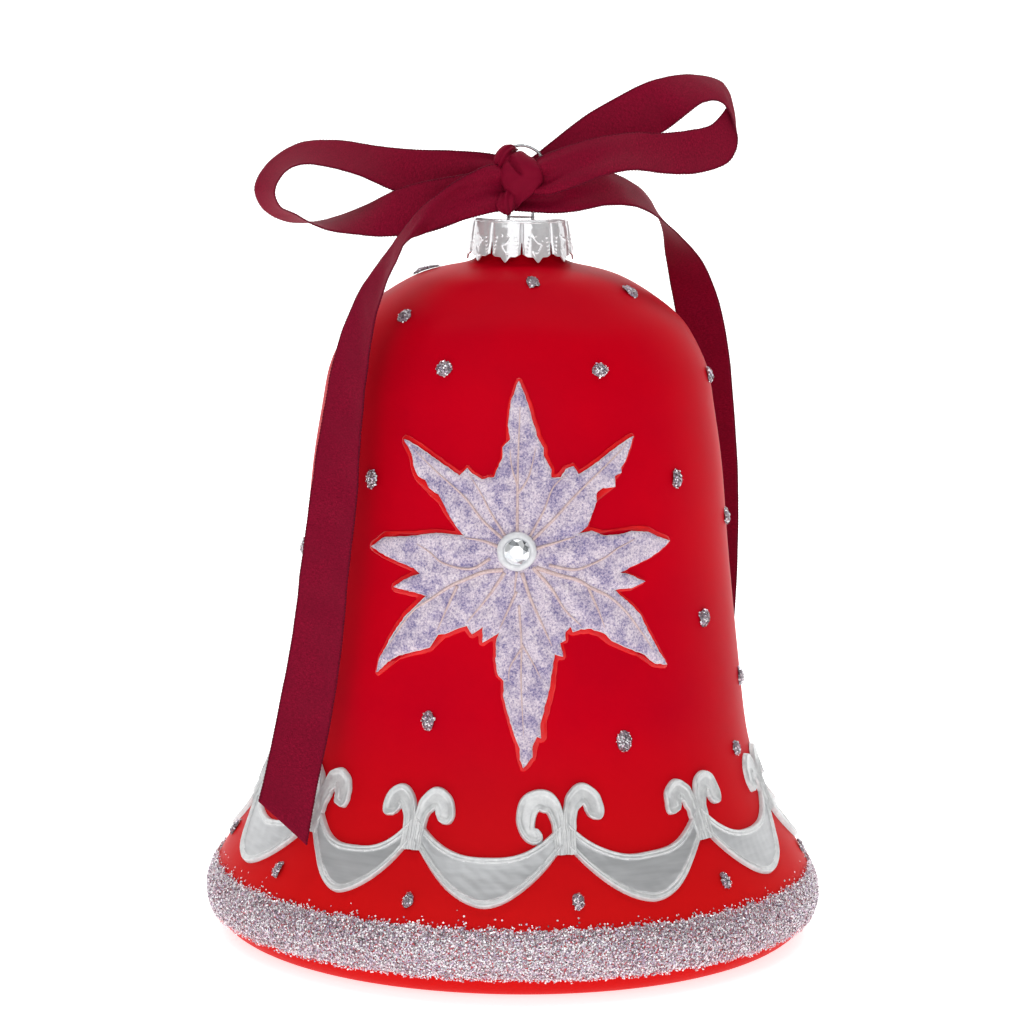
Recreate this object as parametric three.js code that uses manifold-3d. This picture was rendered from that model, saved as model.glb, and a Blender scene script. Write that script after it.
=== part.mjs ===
// Blown-glass Christmas bell ornament: a closed glass bell with a crown cap, a spring
// hanger wire and a satin bow, decorated with a leaf star, garland, glitter and a stone.
// Millimetres, +Z up. The origin is the middle of the flat base, on the bell's axis.
// Azimuths are degrees round the axis, from the front (-Y) towards the right (+X).
import * as THREE from "three";
import { mergeVertices } from "three/addons/utils/BufferGeometryUtils.js";
import Module from "manifold-3d";

// ---- driving dimensions ----
const GAP = 0.3; // clearance between pieces that touch on the real object
const PLATE_GAP = 0.6; // the same under a broad piece, whose facets are chords of the round glass
const GLASS_WALL = 1.1;
const LIP_RADIUS = 8.25; // the rim's rounded lip
const LIP_CENTRE_R = 51.9; // distance of the lip's centre from the axis
const LIP_TOP = 12.4; // the lip's arc runs up to this height
// Height and outer radius of the bell above its lip, up to the plain neck.
const NECK_RADIUS = 7.7;
const NECK_TOP = 139.8;
const BELL_SIDE = [
  [LIP_TOP, 59.0], [17.5, 56.2], [22.5, 52.8], [28.5, 49.8], [36.5, 46.8], [48.5, 44.7],
  [64.5, 42.8], [80.5, 41.1], [95.5, 39.6], [105.5, 38.0], [111.5, 36.8], [116.5, 34.6],
  [120.5, 32.1], [124, 28.3], [127, 23.9], [129.5, 18.9], [130.9, 13.6], [131.7, 10.2],
  [132.7, 8.4], [134.5, NECK_RADIUS], [NECK_TOP, NECK_RADIUS],
];
const BELL_SEGMENTS = 48;

const BAND_BOTTOM = 4.3;
const BAND_TOP = 14.2;
const BAND_THICKNESS = 0.6;

const STAR_HEIGHT = 81.4; // height of the star's middle
const STAR_THICKNESS = 0.7;
// Outline of the leaf star: direction in degrees from the right, and distance from its middle.
const STAR_OUTLINE = [
  [1, 31.5], [-12, 20.7], [-15, 26.1], [-24, 20.3], [-37, 38.3], [-42, 22.8], [-54, 17.9],
  [-65, 21.3], [-73, 21.5], [-82, 35.0], [-87, 40.3], [-93, 30.0], [-98, 23.2], [-102, 15.3],
  [-109, 18.2], [-113, 15.6], [-119, 18.1], [-122, 16.6], [-133, 25.1], [-140, 37.1],
  [-151, 19.3], [-162, 25.2], [-168, 20.0], [-179, 29.4], [-193, 10.4], [-212, 17.0],
  [-215, 23.1], [-222, 29.3], [-231, 17.8], [-236, 17.8], [-244, 14.8], [-262, 18.9], [-270, 31.2],
  [-280, 20.3], [-294, 15.0], [-304, 18.5], [-309, 18.3], [-318, 30.3], [-325, 24.4],
  [-327, 18.3], [-345, 12.2],
];
const STONE_RADIUS = 3.0;
const SETTING_RADIUS = 3.6;
const SETTING_HEIGHT = 0.8;
const STONE_HEIGHT = 1.9;

const GARLAND_THICKNESS = 0.8;
const SCROLL_BASE = 27.6; // height where two swags meet a scroll
// The front scrolls are drawn by hand; the others share the rest of the round evenly.
const FRONT_SCROLLS = [-49, -22, 11, 45, 78];
const SCROLL_COUNT = 11;
const SWAG_LOW = 17.2;
const SWAG_HIGH = 25.4;
// Right half of a scroll's outline: across and up from its base, stem first, then the curl.
const SCROLL_HALF = [
  [1.3, 1.2], [1.7, 4.0], [2.4, 6.4], [3.8, 7.3], [4.9, 6.0], [4.9, 4.0], [6.2, 3.4],
  [7.6, 5.2], [7.6, 7.8], [6.0, 10.0], [3.8, 10.9], [1.6, 10.3],
];
const SCROLL_NOTCH = [0, 8.9];

// Azimuth and height of each glitter drop, and its width and height.
const DROPS = [
  [-23, 114.3, 3.0, 2.6], [25, 114.2, 3.0, 2.6], [-46.5, 122.8, 3.0, 2.0], [7, 129.3, 2.4, 1.6],
  [62, 127.0, 3.2, 1.8], [-43, 93, 2.8, 3.8], [48.5, 93.2, 2.8, 3.8], [81.5, 110.7, 2.6, 3.0],
  [82, 83.1, 3.0, 3.2], [57, 66.1, 3.2, 3.4], [-21, 49.2, 2.4, 3.8], [27, 45.4, 3.0, 4.0],
  [68, 39.5, 2.6, 2.8], [81, 51.7, 2.8, 3.4], [-20, 17.6, 2.2, 2.6], [12.5, 18.2, 2.2, 2.6],
  [46, 18.5, 2.2, 2.6], [-53, 18.3, 2.4, 2.8], [-86, 19.5, 2.6, 2.8], [88, 16.6, 2.2, 2.6],
  [-94, 129.6, 2.6, 1.8], [-83, 76, 2.8, 3.4],
];
const DROP_HEIGHT = 1.0;

const CAP_TOP = 140.5;
const CAP_SHEET = 0.35;
const CAP_TOP_R = 9.0;
const CAP_FOOT_R = 10.3;
const CAP_FOOT = 133.4; // lower edge of the panels
const CAP_PANELS = 10;
const CAP_TURN = 1.7; // azimuth of one joint between two panels
const CAP_GROOVE = 0.3;
const CAP_SLIT = 2.8; // height of the slit between two panels
const CAP_TOOTH = 1.1; // drop of each panel's pointed tooth
const CAP_HOLE_R = 3.1;

const WIRE_RADIUS = 0.3;
const LOOP_RADIUS = 4.7;
const LOOP_CENTRE = 149.6;
const WIRE_LEG_X = 2.4; // where the legs pass through the cap

const RIBBON_THICKNESS = 0.8;
const KNOT_CENTRE = [0.1, -2.3, 147.8];
const KNOT_HALF = [4.2, 4.3, 5.5];
// Each station of a ribbon: the middle of its width, and half its width as a vector.
const LOOP_LEFT = [
  [[-4.9, 2.4, 149.0], [0, -0.8, -3.2]],
  [[-14.8, 3.6, 148.4], [-0.9, -1.6, -4.4]],
  [[-22.1, 4.0, 148.8], [-1.2, -2.6, -4.0]],
  [[-30.5, 3.0, 150.9], [-1.4, -3.9, -2.6]],
  [[-37.1, 2.0, 152.1], [-0.7, -4.4, -2.2]],
  [[-42.9, 1.0, 151.9], [0.6, -4.7, -1.7]],
  [[-47.4, 0, 149.3], [1.9, -4.6, -0.6]],
  [[-49.5, -1.0, 145.3], [2.2, -4.5, -0.1]],
  [[-48.2, -1.5, 142.0], [2.0, -4.5, 0.4]],
  [[-44.7, -1.8, 140.2], [1.4, -4.7, 1.0]],
  [[-39.8, -2.2, 139.1], [0.5, -5.0, 0.2]],
  [[-35.8, -2.6, 139.2], [-0.3, -4.9, -1.0]],
  [[-30.7, -3.2, 140.0], [-0.6, -4.3, -2.5]],
  [[-25.3, -3.4, 141.2], [-0.9, -2.6, -4.2]],
  [[-17.1, -2.6, 142.6], [-0.4, -0.8, -4.9]],
  [[-4.9, -1.9, 146.2], [0, -0.6, -3.4]],
];
const LOOP_RIGHT = [
  [[4.9, 3.8, 149.8], [0.6, -0.4, -3.8]],
  [[15.9, 7.6, 156.1], [2.4, -0.8, -4.3]],
  [[24.3, 8.4, 160.8], [2.9, -0.6, -4.1]],
  [[29.1, 8.2, 163.5], [2.1, -2.7, -3.7]],
  [[34.2, 8.5, 165.5], [1.2, -4.2, -2.5]],
  [[38.7, 6.5, 165.0], [0.1, -4.6, -2.1]],
  [[41.0, 3.0, 161.2], [0.2, -4.3, -2.5]],
  [[40.7, 0, 158.4], [0.8, -3.6, -3.4]],
  [[38.2, -2.0, 155.1], [1.3, -3.3, -3.5]],
  [[33.6, -3.0, 153.6], [0.8, -3.2, -3.8]],
  [[27.3, -4.0, 153.2], [0.3, -3.5, -3.6]],
  [[21.5, -4.5, 153.5], [-0.1, -3.8, -3.3]],
  [[15.6, -4.6, 152.5], [0.5, -3.4, -3.5]],
  [[4.9, -4.4, 148.9], [0.6, -1.0, -3.8]],
];
const TAIL_LEFT = [
  [[-4.9, -5.2, 146.5], [0, -1.0, -4.0]],
  [[-11, -7.2, 144.6], [-1.6, -0.9, -4.7]],
  [[-16.3, -10, 142.3], [-2.2, -1.2, -4.4]],
  [[-20.4, -13.5, 139.4], [-0.8, -4.3, -2.4]],
  [[-22.9, -18, 136], [0.5, -4.9, -0.9]],
  [[-25.5, -22, 131.5], [0.8, -4.7, -1.5]],
  [[-28.1, -24.5, 126.3], [1.6, -4.3, -2.0]],
  [[-31.1, -28, 115.9], [2.9, -3.7, -1.7]],
  [[-33.2, -31.3, 101.7], [3.7, -3.2, -0.9]],
  [[-34.4, -33.0, 89.5], [4.3, -2.4, -0.8]],
  [[-35.8, -34.2, 77.2], [4.4, -2.2, -0.9]],
  [[-37.3, -35.0, 62.7], [4.6, -1.6, -1.1]],
  [[-39.7, -36.0, 48], [4.8, -0.8, -1.3]],
  [[-41.7, -38.0, 37.7], [4.7, -0.8, -1.6]],
  [[-43.4, -39.5, 28.8], [4.5, -0.4, -4.0]],
];
const TAIL_RIGHT = [
  [[4.9, -1.9, 145.1], [0, -0.8, -3.3]],
  [[11, -0.5, 145.4], [-0.5, -2.7, -3.5]],
  [[17.4, 3.0, 146.1], [-0.4, -4.0, -2.9]],
  [[24.4, 8.0, 143.4], [-0.3, -4.8, -1.2]],
  [[28.6, 12.0, 138.5], [0.6, -5.0, 0]],
  [[31.5, 16.0, 133.0], [2.4, -4.2, 0.9]],
  [[33.8, 18.5, 127.5], [3.6, -3.2, 1.2]],
  [[35.7, 20.0, 121.5], [4.2, -2.5, 0.8]],
  [[37.5, 21.5, 113], [4.4, -2.2, 0.5]],
  [[38.8, 24.5, 100.5], [4.7, -1.6, 0.2]],
  [[40.0, 28.0, 86], [4.8, -1.4, 0.1]],
  [[40.4, 30.5, 70], [4.8, -1.4, 0]],
  [[40.0, 33.5, 54], [4.7, -1.6, 0.1]],
  [[38.5, 37.5, 41], [4.4, -2.2, 3.6]],
];

// ---- materials ----
const plain = (color, roughness, metalness) =>
  new THREE.MeshStandardMaterial({ color, roughness, metalness });
const redLacquer = plain(0xc4001c, 0.45, 0);
const silverPaint = plain(0xc9cbce, 0.3, 0.8);
const capMetal = plain(0xd5d7da, 0.12, 1);
const wireMetal = plain(0xb9bcc0, 0.2, 1);
const glitter = plain(0xcbb9c4, 0.5, 0.4);
const leafFabric = plain(0xb4a5c8, 0.85, 0);
const crystal = plain(0xf2f5f8, 0.05, 0.1);
const paleRim = plain(0xdfe6ea, 0.25, 0);
const satin = plain(0x7d1029, 0.5, 0);

// ---- geometry helpers ----
const wasm = await Module();
wasm.setup();

const radians = THREE.MathUtils.degToRad;

/** Outer radius of the glass at a height: the lip's arc, then a smooth curve through BELL_SIDE. */
function radiusAt(z) {
  if (z <= LIP_TOP) return LIP_CENTRE_R + Math.sqrt(LIP_RADIUS ** 2 - (z - LIP_RADIUS) ** 2);
  const last = BELL_SIDE.length - 1;
  const i = Math.min(BELL_SIDE.findLastIndex(([h]) => h <= z), last - 1);
  const slope = (k) => {
    const [za, ra] = BELL_SIDE[Math.max(k - 1, 0)];
    const [zb, rb] = BELL_SIDE[Math.min(k + 1, last)];
    return (rb - ra) / (zb - za);
  };
  const [z0, r0] = BELL_SIDE[i];
  const [z1, r1] = BELL_SIDE[i + 1];
  const step = z1 - z0;
  const t = (z - z0) / step;
  return (
    (1 + 2 * t) * (1 - t) ** 2 * r0 + t * (1 - t) ** 2 * step * slope(i) +
    t * t * (3 - 2 * t) * r1 + t * t * (t - 1) * step * slope(i + 1)
  );
}

/** Radius and height of a point that stands off the glass by lift, at the height z. */
function profilePoint(z, lift) {
  const reach = 0.02;
  const steepness = (radiusAt(z + reach) - radiusAt(z - reach)) / (2 * reach);
  const normal = new THREE.Vector2(1, -steepness).normalize();
  return new THREE.Vector2(radiusAt(z), z).addScaledVector(normal, lift);
}

/** The point that stands off the glass by lift at an azimuth in degrees. */
function onGlass(azimuth, z, lift) {
  const { x: r, y: height } = profilePoint(z, lift);
  const turn = radians(azimuth);
  return new THREE.Vector3(r * Math.sin(turn), -r * Math.cos(turn), height);
}

/** A solid of revolution about Z from a closed or axis-to-axis profile of Vector2(r, z). */
function turned(profile, segments) {
  return new THREE.LatheGeometry(profile, segments).rotateX(Math.PI / 2);
}

/** A geometry from a list of Vector3 and a list of triangles of their indices. */
function geometryOf(points, triangles) {
  return new THREE.BufferGeometry().setFromPoints(points).setIndex(triangles.flat());
}

/** The two triangles of the quad a, b, c, d. */
const quad = (a, b, c, d) => [[a, b, c], [a, c, d]];

/** A geometry as a manifold-3d solid. */
function solidOf(geometry) {
  const bare = geometry.clone();
  bare.deleteAttribute("normal");
  bare.deleteAttribute("uv");
  const merged = mergeVertices(bare, 1e-4);
  return new wasm.Manifold(
    new wasm.Mesh({
      numProp: 3,
      vertProperties: merged.attributes.position.array,
      triVerts: new Uint32Array(merged.index.array),
    }),
  );
}

/** One geometry less another. */
function cut(geometry, tool) {
  const { vertProperties, triVerts } = solidOf(geometry).subtract(solidOf(tool)).getMesh();
  return new THREE.BufferGeometry()
    .setAttribute("position", new THREE.BufferAttribute(vertProperties, 3))
    .setIndex(new THREE.BufferAttribute(triVerts, 1));
}

// ---- the bell ----
function glassBell() {
  const lip = [4, LIP_RADIUS, LIP_TOP];
  const side = BELL_SIDE.slice(1, -1).map(([z]) => z);
  const between = [25, 32, 42, 56]; // more heights where the flare bends
  const heights = [1.2, ...lip, ...[...side, ...between].sort((a, b) => a - b)];
  const outside = heights.map((z) => profilePoint(z, 0));
  const inside = [...lip, ...side].map((z) => profilePoint(z, -GLASS_WALL)).reverse();
  return turned(
    [
      new THREE.Vector2(0, 0),
      new THREE.Vector2(LIP_CENTRE_R, 0),
      ...outside,
      new THREE.Vector2(NECK_RADIUS, NECK_TOP),
      new THREE.Vector2(NECK_RADIUS - GLASS_WALL, NECK_TOP),
      ...inside,
      new THREE.Vector2(LIP_CENTRE_R, GLASS_WALL),
      new THREE.Vector2(0, GLASS_WALL),
    ],
    BELL_SEGMENTS,
  );
}

function glitterBand() {
  const heights = [BAND_BOTTOM, LIP_RADIUS, LIP_TOP, BAND_TOP];
  const face = heights.map((z) => profilePoint(z, GAP + BAND_THICKNESS));
  const back = heights.map((z) => profilePoint(z, GAP)).reverse();
  return turned([...face, ...back, face[0]], BELL_SEGMENTS);
}

// ---- the star and its stone ----
/** The star's outline as Vector2(across, up), with its long edges divided. */
function starOutline() {
  const longest = 6;
  const corners = STAR_OUTLINE.map(([direction, distance]) =>
    new THREE.Vector2(distance, 0).rotateAround(new THREE.Vector2(), radians(direction)),
  );
  return corners.flatMap((corner, k) => {
    const next = corners[(k + 1) % corners.length];
    const parts = Math.ceil(corner.distanceTo(next) / longest);
    return Array.from({ length: parts }, (_, i) => corner.clone().lerp(next, i / parts));
  });
}

function leafStar(azimuth) {
  const rings = [0.36, 0.7, 1];
  const outline = starOutline();
  const count = outline.length;
  const radius = radiusAt(STAR_HEIGHT);
  const place = (across, up, lift) =>
    onGlass(azimuth + THREE.MathUtils.radToDeg(across / radius), STAR_HEIGHT + up, lift);
  const points = [];
  for (const lift of [PLATE_GAP, PLATE_GAP + STAR_THICKNESS]) {
    points.push(place(0, 0, lift));
    for (const share of rings)
      points.push(...outline.map(({ x, y }) => place(x * share, y * share, lift)));
  }
  const layer = 1 + rings.length * count;
  const at = (side, ring, k) => side * layer + 1 + ring * count + (k % count);
  const triangles = [];
  for (let k = 0; k < count; k++) {
    triangles.push([0, at(0, 0, k), at(0, 0, k + 1)]);
    triangles.push([layer, at(1, 0, k + 1), at(1, 0, k)]);
    for (let ring = 0; ring < rings.length - 1; ring++) {
      triangles.push(...quad(at(0, ring, k), at(0, ring + 1, k), at(0, ring + 1, k + 1), at(0, ring, k + 1)));
      triangles.push(...quad(at(1, ring, k + 1), at(1, ring + 1, k + 1), at(1, ring + 1, k), at(1, ring, k)));
    }
    const rim = rings.length - 1;
    triangles.push(...quad(at(0, rim, k), at(1, rim, k), at(1, rim, k + 1), at(0, rim, k + 1)));
  }
  return geometryOf(points, triangles);
}

/** Lays a piece that was turned about Z down on the glass, so that Z points out of it. */
function standOnGlass(geometry, azimuth, z, lift) {
  const foot = onGlass(azimuth, z, lift);
  const outward = onGlass(azimuth, z, lift + 1).sub(foot);
  const turn = new THREE.Quaternion().setFromUnitVectors(new THREE.Vector3(0, 0, 1), outward);
  return geometry.applyQuaternion(turn).translate(foot.x, foot.y, foot.z);
}

const STAR_FACE = PLATE_GAP + STAR_THICKNESS + GAP; // lift of whatever rests on the star

function stoneSetting(azimuth) {
  const inner = STONE_RADIUS + GAP;
  const profile = [
    [0, 0], [SETTING_RADIUS, 0], [SETTING_RADIUS + 0.1, 0.4], [inner + 0.2, SETTING_HEIGHT],
    [inner, SETTING_HEIGHT], [inner, 0.35], [0, 0.35],
  ].map(([r, z]) => new THREE.Vector2(r, z));
  return standOnGlass(turned(profile, 20), azimuth, STAR_HEIGHT, STAR_FACE);
}

function stone(azimuth) {
  const profile = [
    [0, 0], [STONE_RADIUS, 0], [STONE_RADIUS, 0.5], [STONE_RADIUS * 0.55, STONE_HEIGHT],
    [0, STONE_HEIGHT],
  ].map(([r, z]) => new THREE.Vector2(r, z));
  return standOnGlass(turned(profile, 16), azimuth, STAR_HEIGHT, STAR_FACE + 0.35 + GAP);
}

// ---- the silver garland ----
function scrollAzimuths() {
  const last = FRONT_SCROLLS[FRONT_SCROLLS.length - 1];
  const left = SCROLL_COUNT - FRONT_SCROLLS.length;
  const spacing = (FRONT_SCROLLS[0] + 360 - last) / (left + 1);
  const rest = Array.from({ length: left }, (_, k) => last + spacing * (k + 1));
  return [...FRONT_SCROLLS, ...rest];
}

function scroll(azimuth) {
  const rightSide = SCROLL_HALF.map(([across, up]) => new THREE.Vector2(across, up));
  const leftSide = rightSide.map(({ x, y }) => new THREE.Vector2(-x, y)).reverse();
  const outline = new THREE.Shape();
  outline.setFromPoints([...rightSide, new THREE.Vector2(...SCROLL_NOTCH), ...leftSide]);
  const geometry = new THREE.ExtrudeGeometry(outline, {
    depth: GARLAND_THICKNESS,
    bevelEnabled: false,
    steps: 1,
  });
  const position = geometry.attributes.position;
  const radius = radiusAt(SCROLL_BASE + 5);
  for (let i = 0; i < position.count; i++) {
    const turn = azimuth + THREE.MathUtils.radToDeg(position.getX(i) / radius);
    const point = onGlass(turn, SCROLL_BASE + position.getY(i), PLATE_GAP + position.getZ(i));
    position.setXYZ(i, ...point);
  }
  return geometry;
}

/** A crescent that hangs between the azimuths of two scrolls. */
function swag(from, to) {
  const steps = 8;
  const rows = 2;
  const reach = 0.9; // share of the way to each scroll
  const points = [];
  for (const lift of [PLATE_GAP, PLATE_GAP + GARLAND_THICKNESS])
    for (let i = 0; i <= steps; i++)
      for (let j = 0; j <= rows; j++) {
        const t = reach * ((2 * i) / steps - 1);
        const low = SWAG_LOW + (SCROLL_BASE - SWAG_LOW) * t * t;
        const high = SWAG_HIGH + (SCROLL_BASE + 1.6 - SWAG_HIGH) * t * t;
        const z = THREE.MathUtils.lerp(low, high, j / rows);
        points.push(onGlass((from + to) / 2 + (t * (to - from)) / 2, z, lift));
      }
  const at = (side, i, j) => (side * (steps + 1) + i) * (rows + 1) + j;
  const triangles = [];
  for (let i = 0; i < steps; i++) {
    for (let j = 0; j < rows; j++) {
      triangles.push(...quad(at(1, i, j), at(1, i + 1, j), at(1, i + 1, j + 1), at(1, i, j + 1)));
      triangles.push(...quad(at(0, i, j + 1), at(0, i + 1, j + 1), at(0, i + 1, j), at(0, i, j)));
    }
    triangles.push(...quad(at(0, i, 0), at(0, i + 1, 0), at(1, i + 1, 0), at(1, i, 0)));
    triangles.push(...quad(at(1, i, rows), at(1, i + 1, rows), at(0, i + 1, rows), at(0, i, rows)));
  }
  for (let j = 0; j < rows; j++) {
    triangles.push(...quad(at(0, 0, j + 1), at(0, 0, j), at(1, 0, j), at(1, 0, j + 1)));
    triangles.push(
      ...quad(at(0, steps, j), at(0, steps, j + 1), at(1, steps, j + 1), at(1, steps, j)),
    );
  }
  return geometryOf(points, triangles);
}

function glitterDrop([azimuth, z, width, height]) {
  const bead = new THREE.SphereGeometry(0.5, 7, 4).scale(width, height, DROP_HEIGHT);
  const middle = onGlass(azimuth, z, GAP + DROP_HEIGHT / 2);
  const outward = onGlass(azimuth, z, 1).sub(onGlass(azimuth, z, 0));
  const across = new THREE.Vector3(Math.cos(radians(azimuth)), Math.sin(radians(azimuth)), 0);
  const up = new THREE.Vector3().crossVectors(outward, across);
  const frame = new THREE.Matrix4().makeBasis(across, up, outward).setPosition(middle);
  return bead.applyMatrix4(frame);
}

// ---- the cap and the hanger ----
function crownCap() {
  const shoulder = 0.8; // size of the rounded edge between top and skirt
  const outer = [
    [CAP_HOLE_R, CAP_TOP],
    [CAP_TOP_R - shoulder, CAP_TOP],
    [CAP_TOP_R - 0.25 * shoulder, CAP_TOP - 0.25 * shoulder],
    [CAP_TOP_R, CAP_TOP - shoulder],
    [CAP_FOOT_R, CAP_FOOT],
  ];
  const inner = [
    [CAP_FOOT_R - CAP_SHEET, CAP_FOOT],
    [CAP_TOP_R - CAP_SHEET, CAP_TOP - shoulder],
    [CAP_TOP_R - shoulder, CAP_TOP - CAP_SHEET],
    [CAP_HOLE_R, CAP_TOP - CAP_SHEET],
  ];
  const profile = [...outer, ...inner, outer[0]].reverse().map(([r, z]) => new THREE.Vector2(r, z));
  const samples = 8; // steps across one panel
  const geometry = turned(profile, CAP_PANELS * samples).rotateZ(radians(CAP_TURN));
  const position = geometry.attributes.position;
  const pitch = 360 / CAP_PANELS;
  for (let i = 0; i < position.count; i++) {
    const [x, y, z] = [position.getX(i), position.getY(i), position.getZ(i)];
    if (Math.hypot(x, y) < CAP_TOP_R - shoulder - 0.01) continue;
    const azimuth = THREE.MathUtils.radToDeg(Math.atan2(x, -y)) - CAP_TURN;
    const step = Math.round(THREE.MathUtils.euclideanModulo(azimuth, pitch) / (pitch / samples));
    const atJoint = step % samples === 0;
    const shrink = atJoint ? 1 - CAP_GROOVE / Math.hypot(x, y) : 1;
    let height = z;
    if (z < CAP_FOOT + 0.01) {
      if (atJoint) height += CAP_SLIT;
      else if (step === samples / 2) height -= CAP_TOOTH;
    }
    position.setXYZ(i, x * shrink, y * shrink, height);
  }
  return geometry;
}

/** The hanger's wire: spread legs inside the neck, up through the cap, and a round loop. */
function hangerTube(radius, sides) {
  const leg = [[5.6, 117.5], [5.2, 124.5], [3.0, 133], [WIRE_LEG_X, 137.5], [WIRE_LEG_X, 141.5]];
  const arc = [-35, 0, 45].map((turn) => [
    LOOP_RADIUS * Math.cos(radians(turn)),
    LOOP_CENTRE + LOOP_RADIUS * Math.sin(radians(turn)),
  ]);
  const side = [...leg, ...arc];
  const path = [
    ...side,
    [0, LOOP_CENTRE + LOOP_RADIUS],
    ...side.map(([x, z]) => [-x, z]).reverse(),
  ].map(([x, z]) => new THREE.Vector3(x, 0, z));
  const section = new THREE.Shape().absarc(0, 0, radius, 0, 2 * Math.PI);
  return new THREE.ExtrudeGeometry(section, {
    steps: 56,
    curveSegments: sides,
    extrudePath: new THREE.CatmullRomCurve3(path),
  });
}

// ---- the ribbon ----
/** A closed strip along its stations, with a step about every 2.5 mm. */
function ribbonStrip(stations) {
  const middles = new THREE.CatmullRomCurve3(stations.map(([c]) => new THREE.Vector3(...c)));
  const widths = new THREE.CatmullRomCurve3(stations.map(([, w]) => new THREE.Vector3(...w)));
  const steps = (stations.length - 1) * 3;
  const points = [];
  for (let i = 0; i <= steps; i++) {
    const middle = middles.getPoint(i / steps);
    const half = widths.getPoint(i / steps);
    const thick = middles.getTangent(i / steps).cross(half).setLength(RIBBON_THICKNESS / 2);
    for (const [w, t] of [[-1, -1], [1, -1], [1, 1], [-1, 1]])
      points.push(middle.clone().addScaledVector(half, w).addScaledVector(thick, t));
  }
  const end = 4 * steps;
  const triangles = [...quad(3, 2, 1, 0), ...quad(end, end + 1, end + 2, end + 3)];
  for (let i = 0; i < steps; i++)
    for (let k = 0; k < 4; k++) {
      const [a, b] = [4 * i + k, 4 * i + ((k + 1) % 4)];
      triangles.push(...quad(a, b, b + 4, a + 4));
    }
  return geometryOf(points, triangles);
}

function ribbonKnot() {
  const ball = new THREE.SphereGeometry(1, 14, 10).scale(...KNOT_HALF).translate(...KNOT_CENTRE);
  return cut(ball, hangerTube(WIRE_RADIUS + GAP, 3));
}

// ---- assembly ----
const ornament = new THREE.Group();
ornament.name = "bell_ornament";

function add(name, geometry, material) {
  const mesh = new THREE.Mesh(geometry, material);
  mesh.name = name;
  ornament.add(mesh);
}

const numbered = (name, k) => `${name}_${String(k + 1).padStart(2, "0")}`;

add("glass_bell", glassBell(), redLacquer);
add("glitter_band", glitterBand(), glitter);
for (const [side, azimuth] of [["front", 0], ["back", 180]]) {
  add(`leaf_star_${side}`, leafStar(azimuth), leafFabric);
  add(`stone_setting_${side}`, stoneSetting(azimuth), paleRim);
  add(`rhinestone_${side}`, stone(azimuth), crystal);
}
const scrolls = scrollAzimuths();
scrolls.forEach((azimuth, k) => {
  const next = k + 1 < scrolls.length ? scrolls[k + 1] : scrolls[0] + 360;
  add(numbered("scroll", k), scroll(azimuth), silverPaint);
  add(numbered("swag", k), swag(azimuth, next), silverPaint);
});
DROPS.forEach((drop, k) => add(numbered("glitter_drop", k), glitterDrop(drop), glitter));
add("crown_cap", crownCap(), capMetal);
add("hanger_wire", hangerTube(WIRE_RADIUS, 3), wireMetal);
add("ribbon_knot", ribbonKnot(), satin);
add("ribbon_loop_left", ribbonStrip(LOOP_LEFT), satin);
add("ribbon_loop_right", ribbonStrip(LOOP_RIGHT), satin);
add("ribbon_tail_left", ribbonStrip(TAIL_LEFT), satin);
add("ribbon_tail_right", ribbonStrip(TAIL_RIGHT), satin);

export default ornament;
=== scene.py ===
"""Looks of a blown-glass bell ornament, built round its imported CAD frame.

All shapes are drawn in millimetres and scaled to metres when their mesh is made.
Azimuths are degrees round the bell's axis, from the front (-Y) towards the right (+X).
"""
import math

import bmesh
import bpy
import numpy as np
from mathutils import Matrix, Vector
from mathutils.geometry import delaunay_2d_cdt


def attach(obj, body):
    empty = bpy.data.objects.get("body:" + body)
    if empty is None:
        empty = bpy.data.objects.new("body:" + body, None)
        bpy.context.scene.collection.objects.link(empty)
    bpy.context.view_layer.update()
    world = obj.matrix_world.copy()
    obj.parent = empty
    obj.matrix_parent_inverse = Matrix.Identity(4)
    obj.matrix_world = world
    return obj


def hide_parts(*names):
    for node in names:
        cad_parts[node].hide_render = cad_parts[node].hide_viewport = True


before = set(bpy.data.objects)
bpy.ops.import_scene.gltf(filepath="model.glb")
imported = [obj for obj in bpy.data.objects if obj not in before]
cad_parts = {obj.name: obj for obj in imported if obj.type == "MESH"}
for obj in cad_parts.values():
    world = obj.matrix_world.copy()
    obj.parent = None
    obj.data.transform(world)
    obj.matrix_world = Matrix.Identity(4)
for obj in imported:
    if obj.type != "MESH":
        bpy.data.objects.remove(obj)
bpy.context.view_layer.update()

MM = 0.001
rng = np.random.default_rng(24)

# ---- dimensions shared with the CAD, in millimetres ----
GLASS_WALL = 1.1
LIP_RADIUS, LIP_CENTRE_R, LIP_TOP = 8.25, 51.9, 12.4
NECK_RADIUS, NECK_TOP = 7.7, 139.8
BELL_SIDE = np.array([
    (LIP_TOP, 59.0), (17.5, 56.2), (22.5, 52.8), (28.5, 49.8), (36.5, 46.8), (48.5, 44.7),
    (64.5, 42.8), (80.5, 41.1), (95.5, 39.6), (105.5, 38.0), (111.5, 36.8), (116.5, 34.6),
    (120.5, 32.1), (124, 28.3), (127, 23.9), (129.5, 18.9), (130.9, 13.6), (131.7, 10.2),
    (132.7, 8.4), (134.5, NECK_RADIUS), (NECK_TOP, NECK_RADIUS),
])
BAND_BOTTOM, BAND_TOP = 4.3, 14.2
STAR_HEIGHT, STAR_NARROW = 81.4, 0.972
STAR_TOP = 1.3  # lift of the star's face off the glass
STAR_RADIUS, GARLAND_RADIUS = 41, 51  # of the glass behind each, to turn lengths into angles
BAND_FLAKES, FLAKE_SIZE, FLAKE_TILT = 62000, 0.185, 0.33
CLOTH, EDGE_STEP, PICOT_PITCH = 0.22, 0.11, 0.62
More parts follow.
